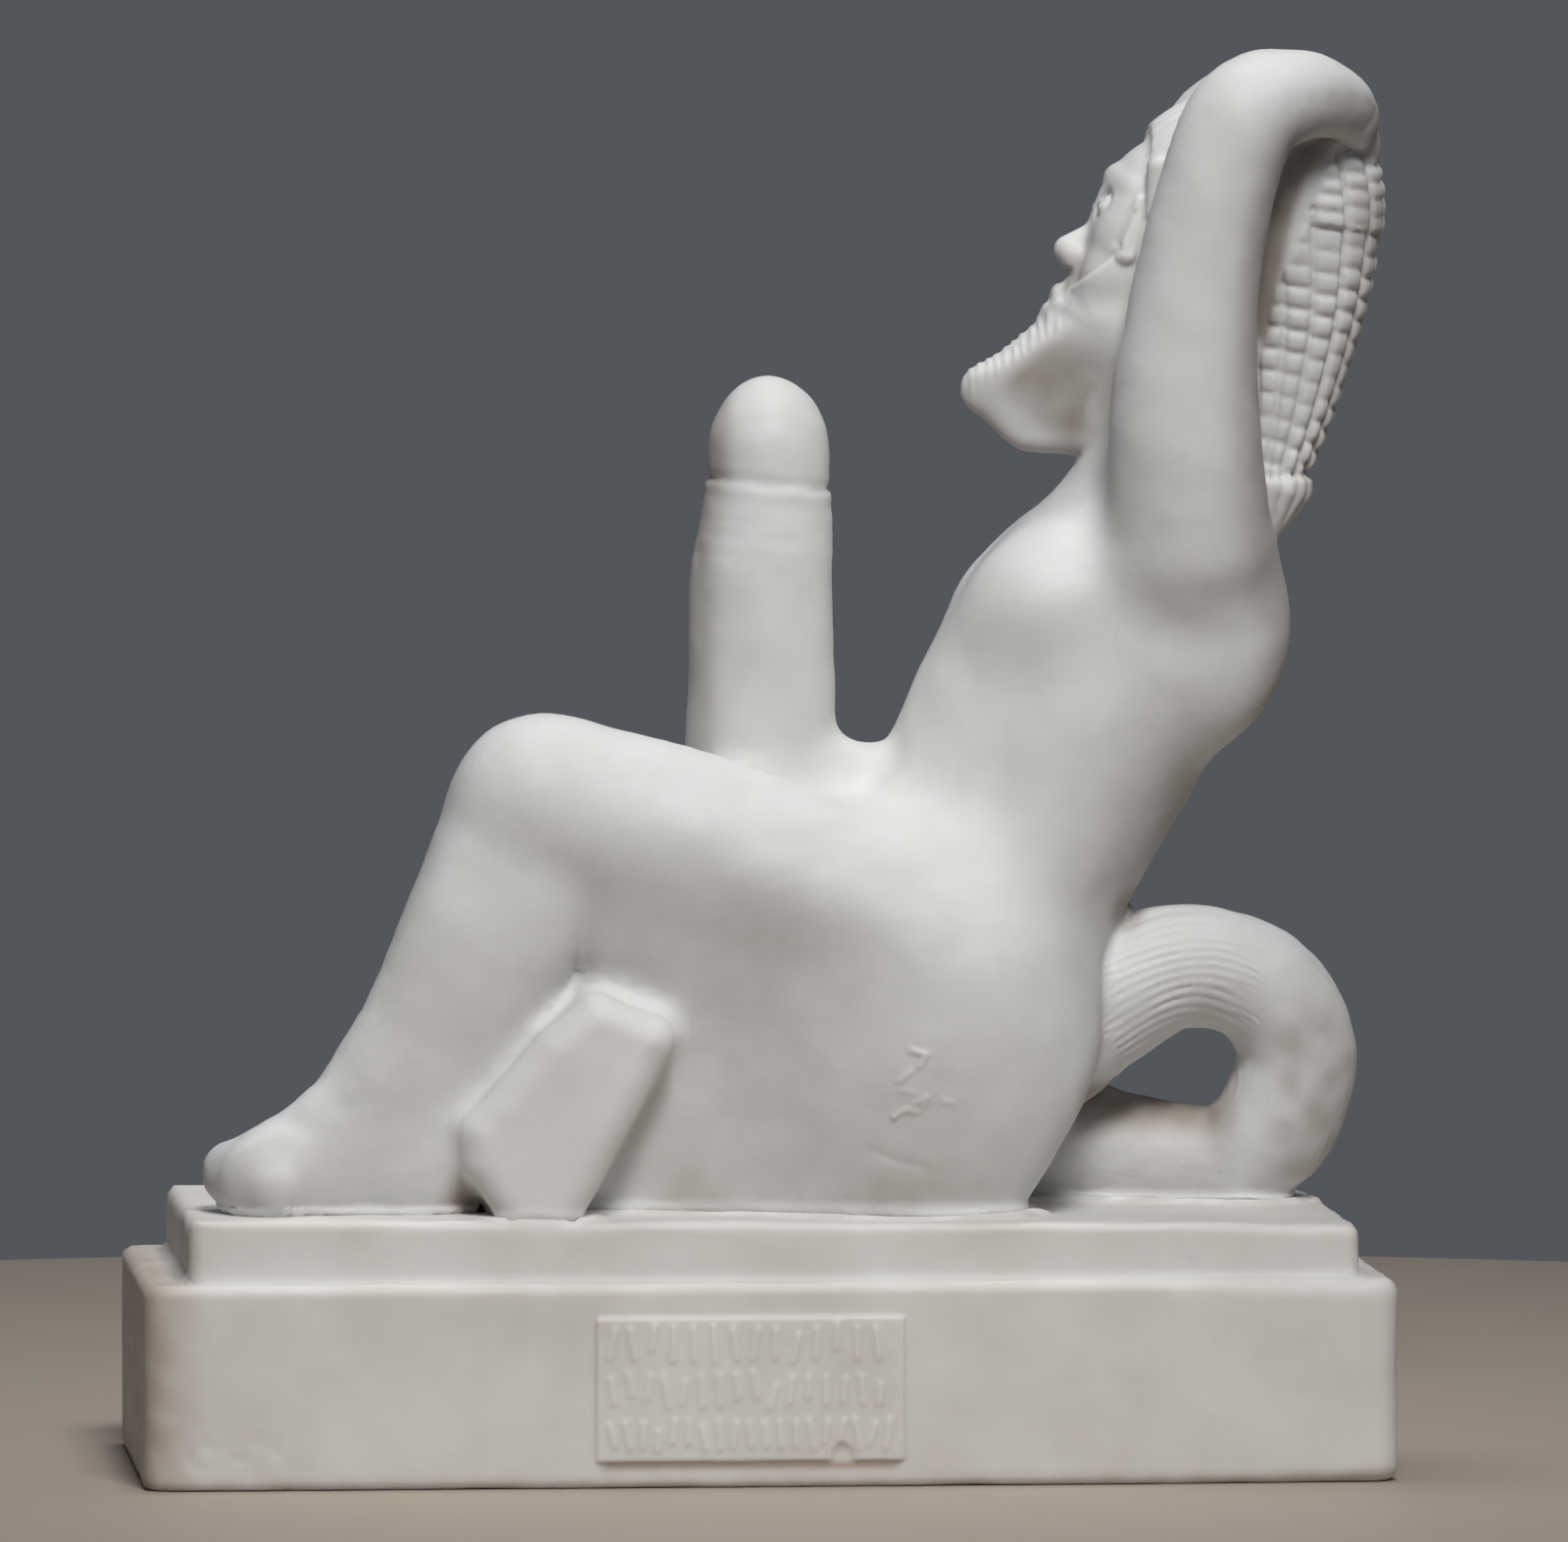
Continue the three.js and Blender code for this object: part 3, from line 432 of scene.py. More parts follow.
@dataclass(frozen=True)
class Trunk:
    """Torso, neck, seat, both legs and both arms."""

    spine: tuple = (
        (23.5, 0, 56, 16.4), (28, 0, 69.4, 16.4), (32.8, 0, 80.6, 17.3), (37.8, 0, 90.4, 17.8),
        (42.2, 0, 99.3, 16.3), (46.5, 0, 107.6, 12),
    )
    near_leg: Leg = Leg()
    far_leg: Leg = Leg(
        hip=(20, 12, 58), groin=(9, 13.4, 63.4), thigh=(-3.5, 14.2, 68.4), under=(-8, 13.2, 61.6),
        knee=(-17.6, 14.6, 72.8), calf=(-25.6, 15.4, 57.2), ankle=(-35.1, 16, 45.6),
        instep=(-42.3, 16.8, 39.8), ball=(-50, 17.4, 35.9), toes=(-54.6, 17.6, 36.1),
        heel=(-32.8, 16.6, 37.5),
    )
    flank: Flank = Flank()
    arm_line: tuple = (
        (50.6, 13.5, 110.4, 9.8), (50, 15.5, 120.2, 9.1), (49.9, 16, 127.8, 8.6),
        (51, 16.5, 139.2, 7.5), (53.1, 17, 150.4, 6.9), (56.8, 16.5, 160.2, 6.6),
        (63, 14.2, 162.7, 5.5), (67.9, 10.6, 162, 4.4), (70.2, 6.8, 160.2, 3.6),
        (70.8, 3, 158.6, 3), (70.6, -0.5, 157.6, 2.4),
    )

    def torso(self) -> Field:
        """Chest, back, neck and seat."""
        breasts = paired(egg([34.8, 7.5, 102.2], [8.8, 9, 7.2], -0.5))
        blades = paired(egg([52.2, 9, 99.4], [11, 9, 14], 0.12))
        neck = limb([47.4, 0, 108], [49.5, 0, 132], 8.8, 8.8)
        nape = limb([57, 0, 117], [58.5, 0, 138], 3, 4)
        seat = paired(egg([23, 10.6, 47], [16.4, 12, 19.5]))
        return blend(6, tube(self.spine, 0.98), breasts, blades, blend(1, neck, nape), seat)

    def legs(self) -> Field:
        """Both legs, with the hips and the mass that closes the space below the knees."""
        hips = paired(limb([10, 11, 58], [21, 10, 47], 12, 12.4))
        mass = paired(egg([5, 9, 42], [30, 13.4, 24]))
        pits = paired(limb([-17, 11.5, 52], [2, 12, 52], 7, 9))
        footing = paired(limb([-33, 8, 35], [4, 9, 40], 5, 12))
        near, far = self.near_leg, self.far_leg
        closed = blend(5, near.upper(), far.upper(), hips, mass, pits, footing)
        shins = within([-46, -16, 60], 38, near.lower()), within([-38, 16, 56], 38, far.lower())
        return blend(1.4, carve(3, closed, self.flank.outside), *shins)

    def arm(self, side: int, drop: float) -> Field:
        """One arm, from the shoulder over the elbow to the hand behind the head."""
        line = [(x + 0.5 * drop, side * y, z - drop, r) for x, y, z, r in self.arm_line]
        return within([59, side * 12, 136], 38, tube(line))

    def field(self) -> Field:
        """All in one, with the slope below the buttocks."""
        seated = blend(13, self.torso(), self.legs())
        whole = blend(5, seated, self.arm(-1, 0), self.arm(1, 2.2))
        return carve(4, whole, lambda p: 9.5 - 0.848 * p[:, 0] + 0.53 * p[:, 2])


@dataclass(frozen=True)
class Groin:
    """The mound, the upright shaft, its tip and the pouch."""

    line: tuple = (
        (9, 0, 66, 9.6), (1.4, 0, 79, 8.9), (1.1, 0, 93, 8.7), (1, 0, 104, 8.5),
        (1.6, 0, 112, 7.8), (1.8, 0, 116.4, 7),
    )
    ring: float = 117.0  # height of the groove below the tip, over the origin
    ring_drop: float = 0.097  # how much it drops along x

    def relief(self, p: Array) -> Array:
        """Height of the groove below the tip and the low rim under it."""
        above = p[:, 2] - self.ring + self.ring_drop * p[:, 0] + 0.15 * lumps(p, 6, 41)
        height = 0.2 * hump(above + 1.1, 0.7) - 0.42 * hump(above, 0.42)
        return height * ease((14 - length_of(p - [1.9, 0, 117])) / 3)

    def field(self) -> Field:
        """All of it in one."""
        mound = egg([10.6, 0, 80], [8.4, 7.2, 6])
        pouch = paired(egg([-4.5, 3, 71.5], [6, 5, 6]))
        shaft = tube(self.line, 1, 4)
        tip = egg([1.9, 0, 119.6], [7.3, 7.2, 9.8])
        whole = blend(0.8, blend(4, mound, shaft, pouch), tip)
        return within([2, 0, 98], 36, whole)


@dataclass(frozen=True)
class Head:
    """Head and beard, modelled upright and laid back on the neck."""

    x: float = 52.3
    z: float = 145.2
    tilt: float = math.radians(38.5)
    stroke: float = 1.3  # from one stroke of the beard to the next
    cheek_line: tuple = ((8.3, -1.9), (7.8, -5.8), (6.0, -7.1))  # the thin line before the ear
    chin: tuple = (7.2, -12.8)  # where the front of the beard starts, in the upright frame
    fall: tuple = (0.227, -0.974)  # the way it falls from there

    def upright(self, p: Array) -> Array:
        """Points in the head's own upright frame: x forward, y beside, z above its middle."""
        cos, sin = math.cos(self.tilt), math.sin(self.tilt)
        dx, dz = p[:, 0] - self.x, p[:, 2] - self.z
        return np.column_stack([-cos * dx + sin * dz, p[:, 1], sin * dx + cos * dz])

    def on_beard(self, f: Array, u: Array) -> tuple[Array, Array]:
        """How far down the beard and how deep behind its front upright points are."""
        df, du = f - self.chin[0], u - self.chin[1]
        ahead, down = self.fall
        return ahead * df + down * du, down * df - ahead * du

    def off_cheek(self, f: Array, u: Array) -> Array:
        """How far upright points stand before the beard's edge on the cheek."""
        return 0.977 * (f - 8.85) + 0.212 * (u + 15.9)

    def face(self) -> Field:
        """Skull, brows, nose, cheeks, moustache, lip, eyes and ears."""
        skull = blend(3, egg([0, 0, 1], [12.7, 10.4, 12.6]), egg([1.6, 0, -7.5], [8.2, 8.6, 12.6]))
        brows = paired(limb([12, 0.6, 0.5], [9.8, 5.4, 0.4], 1.1, 1))
        temples = paired(egg([5.4, 4.4, -2.5], [5.4, 4.2, 8]))
        wings = paired(egg([9.8, 1.7, -10.3], [1.6, 1.4, 1.5]))
        nose = blend(1, limb([9.5, 0, -5.4], [10.8, 0, -9.8], 1.1, 1.8), wings)
        cheeks = paired(egg([5.5, 4.6, -9], [3.7, 3.6, 4.6]))
        whiskers = paired(limb([8.3, 0.6, -14.4], [7.7, 2.4, -15.8], 1.2, 0.9))
        lip = egg([7.4, 0, -16.8], [1.5, 2.6, 0.8])
        sockets = paired(egg([12, 3.1, -3.2], [1.7, 1.8, 1.6]))
        eyes = paired(egg([9.8, 3.1, -3.5], [1.9, 1.7, 1.2]))
        inner = limb([11.5, 1.7, -3.2], [11.2, 3.1, -2.3], 0.35, 0.3)
        lids = paired(blend(0.3, inner, limb([11.2, 3.1, -2.3], [10.4, 4.3, -3.3], 0.3, 0.2)))
        ear = limb([5.9, 8.3, -6.3], [8.7, 7.9, -0.3], 1.3, 0.4)
        ears = paired(carve(0.4, ear, limb([6.3, 9.9, -6], [8, 9, -2], 0.7, 0.2)))
        carved = carve(1, blend(1.2, skull, temples, brows, cheeks), sockets)
        return blend(0.6, carved, nose, whiskers, lip, eyes, blend(0.3, lids, ears))

    def cap(self) -> Field:
        """The hair on the skull, with a straight edge and a pointed lock at each temple."""
        dome = egg([1, 0, 5], [11.8, 10.2, 14.3])
        locks = paired(limb([9, 8.4, 4], [6.7, 9.3, -0.9], 1.7, 0.5))

        def trimmed(q: Array) -> Array:
            """Distance to the dome, trimmed straight from the brow to the nape."""
            return np.maximum(dome(q), 0.863 * q[:, 0] - 0.505 * q[:, 2] - 6.8)

        return blend(0.5, trimmed, locks)

    def beard(self) -> Field:
        """The smooth wedge of the beard."""
        wedge = blend(
            3,
            limb([0.6, 0, -17], [8.4, 0, -28.8], 7.8, 2.4, 1.15),
            limb([7.9, 0, -28.9], [2.6, 0, -27], 2.4, 4.7, 1.15),
            limb([2.6, 0, -27], [-3, 0, -22.6], 4.7, 6.4, 1.15),
        )
        return carve(1.6, wedge, lambda q: 2 + 0.4 * (30 + q[:, 2]) - np.abs(q[:, 1]))

    def relief(self, p: Array) -> Array:
        """Height of the beard's strokes, its step beside the cheek and the lines of the face.

        Args:
            p: Points on the head.

        Returns:
            How far each point stands proud of the smooth head.
        """
        q = self.upright(p)
        f, y, u = q.T
        along, depth = self.on_beard(f, u)
        phase = (along - 0.79 * depth) / self.stroke + 0.1 * np.sin(1.9 * along) + 0.05 * y
        ridge = hump((phase % 1 - 0.5) * self.stroke, 0.3)
        front = zone((depth, 2.3, -0.8), (u, -16.6, -1.4))
        height = (0.24 * ridge - 0.09) * front * (0.75 + 0.5 * lumps(p, 4, 42))
        step = self.off_cheek(f, u)
        beside = zone((np.abs(y), 2.5, 1.2), (u, -16.5, 1.2), (u, -6.3, -2))
        height += beside * (0.28 - 0.62 * ease((step + 0.25) / 0.5)) * hump(step, 3.5)
        side = ease((np.abs(y) - 3) / 2)
        height -= 0.22 * side * hump(along_line(q, self.cheek_line), 0.35)
        curls = hump(length_of((q - [8.3, 0, -14.6]) / [1.2, 9, 1.4]), 1)
        height += 0.16 * side * curls * lumps(p, 1.5, 43)
        strand = np.abs(np.sin(math.pi * (y + 0.1 * u) / 1.6))
        cap = share_of(self.cap()(q), self.face()(q)) * ease((54 - p[:, 0]) / 2)
        return height + cap * 0.2 * (strand**0.6 - 0.7)

    def beard_shade(self, p: Array) -> Array:
        """How much painted shade darkens the flat sides of the beard and the cheek beside its edge.
        """
        f, y, u = self.upright(p).T
        near = zone((length_of(p - [self.x, 0, self.z]), 30, -4), (np.abs(y), 1, 2))
        _, depth = self.on_beard(f, u)
        side = zone((depth, 1.2, 3), (u, -15.5, -7), (f, -7, 6))
        cheek = zone((self.off_cheek(f, u), -0.3, 0.6), (u, -17, 1.5), (u, -5, -3))
        return near * (0.85 * side + 0.3 * cheek)

    def field(self) -> Field:
        """The whole head, laid back on the neck."""
        form = blend(0.8, blend(2.5, self.face(), self.beard()), self.cap())
        return within([52, 0, 140], 30, lambda p: form(self.upright(p)))


@dataclass(frozen=True)
class Hair:
    """The long mass of beaded hair on the nape, its tie and the tuft below it."""

    line: tuple = (
        (62, 0, 163.2, 3), (62.2, 0, 160.4, 8.6), (62.8, 0, 153.4, 11.8), (63.9, 0, 146, 11),
        (64.4, 0, 136, 8.7), (63.3, 0, 126, 6.7), (62, 0, 118.4, 5),
    )
    side: float = 0.8  # its width over its depth
    columns: int = 16
    pitch: float = 2.65  # from one row of beads to the next
    ledge: float = 147.8  # below it the mass steps back a little and its rows are wider
    crown_pitch: float = 2.1
    tie: float = 117.6
    # where the beads start behind the neck and the head, as heights and x
    edge: tuple = ((126, 57), (131, 59.4), (140, 61.4), (149, 65.0), (151, 66.2), (158, 68.2))
    # the line between hair and head, under the arm, along which shade is painted
    shade: tuple = ((60.0, 135), (60.8, 142), (62.0, 149), (63.6, 154), (67.2, 157.6))

    def at(self, z: Array) -> tuple[Array, Array]:
        """Middle and radius of the mass at these heights."""
        line = smooth_line(self.line, 8)[::-1]
        return np.interp(z, line[:, 2], line[:, 0]), np.interp(z, line[:, 2], line[:, 3])

    def field(self) -> Field:
        """The smooth mass, whose sections are level ovals, with the tuft."""

        def mass(p: Array) -> Array:
            """Distance to the mass."""
            middle, reach = self.at(p[:, 2])
            wall = np.hypot(p[:, 0] - middle, p[:, 1] / self.side) - reach + 0.9
            return join_walls(wall, np.abs(p[:, 2] - 140.3) - 22.6 + 0.9, 0.9)

        tuft = limb([62, 0, 116], [60.6, 0, 110.6], 4.7, 2.4)
        return within([63, 0, 138], 32, blend(1.0, mass, tuft))

    def hands(self) -> Field:
        """Two hands laid over each other on the back of the hair."""
        near = egg([71.3, -6, 159.6], [2.5, 4.6, 3.4])
        far = egg([71, 5.4, 157.6], [2.3, 4.6, 3.2])
        fingers = []
        for i in range(4):
            knuckle = [73, 0.6, 161 - 1.6 * i]
            root = limb([71.8, -3.6, 161.6 - 1.55 * i], knuckle, 1.25, 1.15)
            tip = limb(knuckle, [71.9, 5.4 - 0.5 * i, 160 - 1.6 * i], 1.15, 0.9)
            fingers.append(blend(0.5, root, tip))
        thumb = limb([70.2, -4.6, 162.4], [71, 0, 162.9], 1.3, 1)
        return within([71, 0, 159], 9, blend(0.7, near, far, thumb, *fingers))

    def relief(self, p: Array) -> Array:
        """Height of the beads, the tie and the petals of the tuft.

        Args:
            p: Points on the hair.

        Returns:
            How far each point stands proud of the smooth mass.
        """
        x, y, z = p.T
        middle, reach = self.at(z)
        across = np.arctan2(y / self.side, x - middle) / (2 * math.pi) * self.columns + 0.5
        drop = self.ledge - z - 0.14 * (x - middle)
        pitch = np.where(drop > 0, self.pitch, self.crown_pitch)
        down = (drop + 0.55 * np.sin(2.4 * np.floor(across))) / pitch
        mood = 1 + 0.5 * np.sin(12.9898 * (np.floor(across) * 31 + np.floor(down) * 17))
        from_side = (0.5 - np.abs(across % 1 - 0.5)) * 2 * math.pi * reach / self.columns
        from_row = (0.5 - np.abs(down % 1 - 0.5)) * pitch
        swell = np.sin(math.pi * (across % 1)) * np.sin(math.pi * (down % 1))
        bead = 0.2 + 0.2 * swell * mood - 0.7 * hump(from_side, 0.4)
        bead -= 0.2 * hump(from_row, 0.42) * mood
        heights, fronts = np.array(self.edge).T
        inside = x - np.interp(z, heights, fronts)
        beads = bead * ease(inside / 0.8)
        beads -= ease(inside / 2.5) * (0.5 * ease((drop + 0.15) / 0.4) - 0.15)
        below = ease((self.tie - z) / 0.8)
        ring = -0.5 * hump(z - self.tie, 0.5)
        petals = 0.45 * np.sin(math.pi * ((across + 0.1 * (self.tie - z)) % 1)) ** 0.7 - 0.25
        petals *= ease((z - 110.5) / 3)
        return beads * (1 - below) + petals * below + ring


@dataclass(frozen=True)
class Tail:
    """The heavy horse tail that loops behind the seat."""

    line: tuple = (
        (34, 0, 51, 10), (40.6, 0, 54.6, 8.5), (48, 0.3, 58.2, 7.7), (54.6, 1, 58.7, 7.2),
        (61.1, 2, 56.1, 7.1), (65, 3, 50.5, 7.1), (65.1, 4, 45, 7.3), (62.3, 5, 38.7, 7.3),
        (56.5, 7.2, 35.2, 6.6), (46, 9, 36.1, 6.9), (36, 10, 38.4, 8),
    )
    strand: float = 1.1  # from one groove to the next on the upper run

    def field(self) -> Field:
        """The smooth tail."""
        return within([50, 3, 46], 30, tube(self.line))

    def relief(self, p: Array) -> Array:
        """Height of the strands: clear grooves along the upper run, fine streaks after it.

        Args:
            p: Points on the tail.

        Returns:
            How far each point stands proud of the smooth tail.
        """
        line = smooth_line(self.line, 6)[:, :3]
        ways = np.gradient(line, axis=0)
        ways /= length_of(ways)[:, None]
        near = np.argmin(((p[:, None, :] - line[None]) ** 2).sum(2), axis=1)
        out = p - line[near]
        x, _, z = p.T
        across = out[:, 0] * ways[near, 2] - out[:, 2] * ways[near, 0] + 0.35 * lumps(p, 12, 5)
        upper = zone((x, 60, -6), (z, 46, 3), (x, 41, 3))
        clear = -np.abs(np.sin(math.pi * across / self.strand)) ** 0.8 + 0.6
        patches = ease(0.55 + 0.7 * lumps(p, 9, 6))
        fine = np.sin(2 * math.pi * across / 0.8 + 2 * lumps(p, 7, 8)) * patches
        return -0.34 * upper * clear * (0.35 + 0.65 * patches) + 0.08 * (1 - upper) * fine


@dataclass(frozen=True)
class Strut:
    """The broken strut between calf and thigh."""

    outline: tuple = (
        (-20.2, 54.4), (-14.4, 52.1), (-25.4, 31.9), (-25.9, 25), (-28.1, 25), (-28.5, 32),
        (-33, 38.1), (-33.2, 41.1), (-24.9, 50.6),
    )
    near: float = -27.3  # y of its near side
    far: float = -13.0  # y of its far side
    corner: float = 3.2  # how far the outline is rounded outwards
    edge: float = 3.6  # radius of its edges

    def field(self) -> Field:
        """The stub on its narrowed foot, with the filler in the pit behind it."""
        stub = prism(self.outline, self.near, self.far, self.corner, self.edge)
        stub = blend(1.5, stub, egg([-34.8, -14.8, 32.4], [5, 3.2, 3]))
        return within([-23, -20, 43], 24, stub)


class Grain(Enum):
    """How often the even quads of a casting are split in a zone."""

    BROAD = 0
    CARVED = 1
    CHASED = 2


# The scene


@contextmanager
def opened(mesh: bpy.types.Mesh) -> Iterator[bmesh.types.BMesh]:
    """The mesh opened for editing, and written back afterwards."""
    tool = bmesh.new()
    tool.from_mesh(mesh)
    yield tool
    tool.to_mesh(mesh)
    tool.free()


def placed(name: str, data: bpy.types.ID) -> bpy.types.Object:
    """A new object of that name in the scene, which holds the data."""
    made = bpy.data.objects.new(name, data)
    bpy.context.scene.collection.objects.link(made)
    return made


def linear(colour: str) -> tuple[float, float, float, float]:
    """Linear red, green, blue and alpha of an sRGB hex colour."""
    parts = [int(colour[i : i + 2], 16) / 255 for i in (1, 3, 5)]
    return (*[c / 12.92 if c <= 0.04045 else ((c + 0.055) / 1.055) ** 2.4 for c in parts], 1.0)


def add(
    tree: bpy.types.NodeTree,
    kind: str,
    inputs: dict[str | int, object] | None = None,
    **settings: object,
) -> bpy.types.Node:
    """Adds a node with its settings and links.

    Args:
        tree: The material's node tree.
        kind: The node's type.
        inputs: Values or output sockets for its inputs, by name or number.
        settings: Its properties.

    Returns:
        The node.
    """
    made = tree.nodes.new(kind)
    for name, value in settings.items():
        setattr(made, name, value)
    for name, value in (inputs or {}).items():
        if isinstance(value, Socket):
            tree.links.new(value, made.inputs[name])
        else:
            made.inputs[name].default_value = value
    return made


@dataclass(frozen=True)
class CastAlabaster:
    """Alabaster powder cast in clear resin: milky, a little soft inside, with a satin skin."""

    name: str
    body: str  # the warm white of the casting
    cloud: str  # the faint greyer clouds in it
    chalk: str  # dry filler along the joints
    stain_and_shade: str  # brown of dirt, and of painted shade in hollows, under things and on sides turned from the light
    pore: float = 0.45  # mm between the small pores
    skin: float = 3.2  # mm between the dull and the shiny patches
    clouds: float = 15.0  # mm between the clouds
    dullness: tuple = (0.55, 0.68)  # roughness of the shiny and of the dull patches

    def material(self) -> bpy.types.Material:
        """Makes the material, which reads its mesh's attributes for the chalky filler and for the
        brown of dirt and painted shade.
        """
        made = bpy.data.materials.new(self.name)
        made.use_nodes = True
        tree = made.node_tree
        tree.nodes.clear()
        place = add(tree, "ShaderNodeTexCoord").outputs["Object"]

        def noise(size: float, detail: float) -> Socket:
            """Noise whose blobs are size millimetres apart."""
            inputs = {"Vector": place, "Scale": 1 / (size * MM), "Detail": detail}
            return add(tree, "ShaderNodeTexNoise", inputs).outputs["Fac"]

        def remap(value: Socket, *ends: float) -> Socket:
            """The value's range, the first two ends, turned into the range of the last two."""
            inputs = {0: value} | dict(enumerate(ends, 1))
            return add(tree, "ShaderNodeMapRange", inputs).outputs["Result"]

        def mixed(share: Socket, a: object, b: object) -> Socket:
            """Colour a turned into b by a share."""
            return add(tree, "ShaderNodeMix", {0: share, 6: a, 7: b}, data_type="RGBA").outputs[2]

        def bumped(size: float, strength: float, depth: float, below: dict) -> Socket:
            """The skin with blobs of that size and depth in millimetres on what lies below."""
            inputs = {"Height": noise(size, 3), "Strength": strength, "Distance": depth * MM}
            return add(tree, "ShaderNodeBump", inputs | below).outputs["Normal"]

        chalk = add(tree, "ShaderNodeAttribute", attribute_name="chalk").outputs["Fac"]
        stain_and_shade = add(tree, "ShaderNodeAttribute", attribute_name="stain_and_shade").outputs["Fac"]
        clouds = remap(noise(self.clouds, 3), 0.4, 0.7, 0, 1)
        colour = mixed(clouds, linear(self.body), linear(self.cloud))
        # brown of dirt and of painted shade, as much as the mesh's attribute asks
        colour = mixed(stain_and_shade, colour, linear(self.stain_and_shade))
        colour = mixed(chalk, colour, linear(self.chalk))
        dull = remap(noise(self.skin, 4), 0.3, 0.75, *self.dullness)
        rough = add(tree, "ShaderNodeMath", {0: chalk, 1: 0.2, 2: dull}, operation="MULTIPLY_ADD")
        pores = bumped(self.pore, 0.35, 0.05, {})
        waves = bumped(self.skin, 0.5, 0.16, {"Normal": pores})
        skin = {"Base Color": colour, "Roughness": rough.outputs["Value"], "Normal": waves}
        skin |= {"IOR": 1.52, "Specular IOR Level": 0.36}
        # light enters a little way, which keeps the shadows of the fine relief soft and warm
        skin |= {"Subsurface Weight": 0.45, "Subsurface Scale": 1.8 * MM}
        skin["Subsurface Radius"] = (1.0, 0.86, 0.74)
        shader = add(tree, "ShaderNodeBsdfPrincipled", skin)
        add(tree, "ShaderNodeOutputMaterial", {"Surface": shader.outputs["BSDF"]})
        return made


# Castings


@dataclass
class Casting(ABC):
    """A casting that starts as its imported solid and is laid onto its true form."""

    name: str
    node: str
    slot: str
    grid: float  # mm between the corners of the broad quads
    finish: CastAlabaster
    evening: tuple = (0.0, 0.5, 0.5, 0.35, 0.0)  # how far to the neighbours' middle, by round
    reach: float = 1.2  # mm that a round moves a corner onto the form, at most
    least: float = 0.3  # the least steepness that it reckons with

    @abstractmethod
    def field(self) -> Field:
        """The casting's true form."""

    @abstractmethod
    def zones(self, p: Array) -> tuple[Array, Array]:
        """Whether these points are carved, and whether they are chased."""

    @abstractmethod
    def relief(self, p: Array, normals: Array) -> Array:
        """How far the finished surface stands proud of the form at these points."""

    @abstractmethod
    def tints(self, p: Array, normals: Array) -> dict[str, Array]:
        """The attributes that the finish reads, at these points."""

    def grain(self, p: Array) -> Array:
        """The Grain of each of these points, as numbers."""
        carved, chased = self.zones(p)
        broad = np.where(carved, Grain.CARVED.value, Grain.BROAD.value)
        return np.where(chased, Grain.CHASED.value, broad)

    def quads(self) -> bpy.types.Mesh:
        """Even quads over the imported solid, split finer where the grain asks for it.

        Returns:
            The new mesh.
        """
        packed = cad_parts[self.node].data.copy()
        with opened(packed) as tool:
            bmesh.ops.remove_doubles(tool, verts=tool.verts, dist=1e-7)
        holder = placed(self.name + "_packed", packed)
        remesh = holder.modifiers.new("even quads", "REMESH")
        remesh.mode = "VOXEL"
        remesh.voxel_size = self.grid * MM
        depsgraph = bpy.context.evaluated_depsgraph_get()
        mesh = bpy.data.meshes.new_from_object(holder.evaluated_get(depsgraph))
        bpy.data.objects.remove(holder)
        with opened(mesh) as tool:
            for level in (Grain.CARVED, Grain.CHASED):
                faces = list(tool.faces)
                middles = np.array([f.calc_center_median() for f in faces]) / MM
                finer = self.grain(middles) >= level.value
                edges = {edge for f, split in zip(faces, finer) if split for edge in f.edges}
                bmesh.ops.subdivide_edges(
                    tool, edges=list(edges), cuts=1, use_grid_fill=True, use_single_edge=True
                )
            bmesh.ops.triangulate(tool, faces=[f for f in tool.faces if len(f.verts) > 4])
            bmesh.ops.recalc_face_normals(tool, faces=tool.faces)
        return mesh

    def laid_on(self, p: Array, edges: Array, form: Field) -> Array:
        """Moves the corners of the quads onto the form and evens them out along it.

        Args:
            p: The corners.
            edges: Pairs of corners.
            form: The form.

        Returns:
            The corners' new places.
        """
        ring = np.vstack([edges, edges[:, ::-1]])
        count = np.bincount(ring[:, 0], minlength=len(p))[:, None]
        for share in self.evening:
            if share:
                sums = [np.bincount(ring[:, 0], p[ring[:, 1], axis], len(p)) for axis in range(3)]
                p = p + share * (np.column_stack(sums) / count - p)
            value, slope = slope_of(form, p)
            steep = np.maximum(np.einsum("ij,ij->i", slope, slope), self.least)
            p = p - slope * (np.clip(value, -self.reach, self.reach) / steep)[:, None]
        return p

    def build(self) -> bpy.types.Object:
        """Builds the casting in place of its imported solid.

        Returns:
            The finished object.
        """
        mesh = self.quads()
        p = np.empty(len(mesh.vertices) * 3)
        mesh.vertices.foreach_get("co", p)
        edges = np.empty(len(mesh.edges) * 2, np.int32)
        mesh.edges.foreach_get("vertices", edges)
        form = self.field()
        p = self.laid_on(p.reshape(-1, 3) / MM, edges.reshape(-1, 2), form)
        slope = slope_of(form, p)[1]
        normals = slope / np.maximum(length_of(slope), 1e-6)[:, None]
        tints = self.tints(p, normals)
        p = p + normals * self.relief(p, normals)[:, None]
        low, high = (np.array(corner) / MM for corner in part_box(self.node))
        p = np.clip(p, low, high)
        mesh.vertices.foreach_set("co", (p * MM).ravel())
        for name, values in tints.items():
            mesh.attributes.new(name, "FLOAT", "POINT").data.foreach_set("value", values)
        mesh.shade_smooth()
        mesh.update()
        made = placed(self.name, mesh)
        made.data.materials.clear()
        made.data.materials.append(self.finish.material())
        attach(made, "root")
        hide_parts(self.node)
        triangles = sum(len(f.vertices) - 2 for f in mesh.polygons)
        LOG.info("%s: %d triangles", self.name, triangles)
        return made


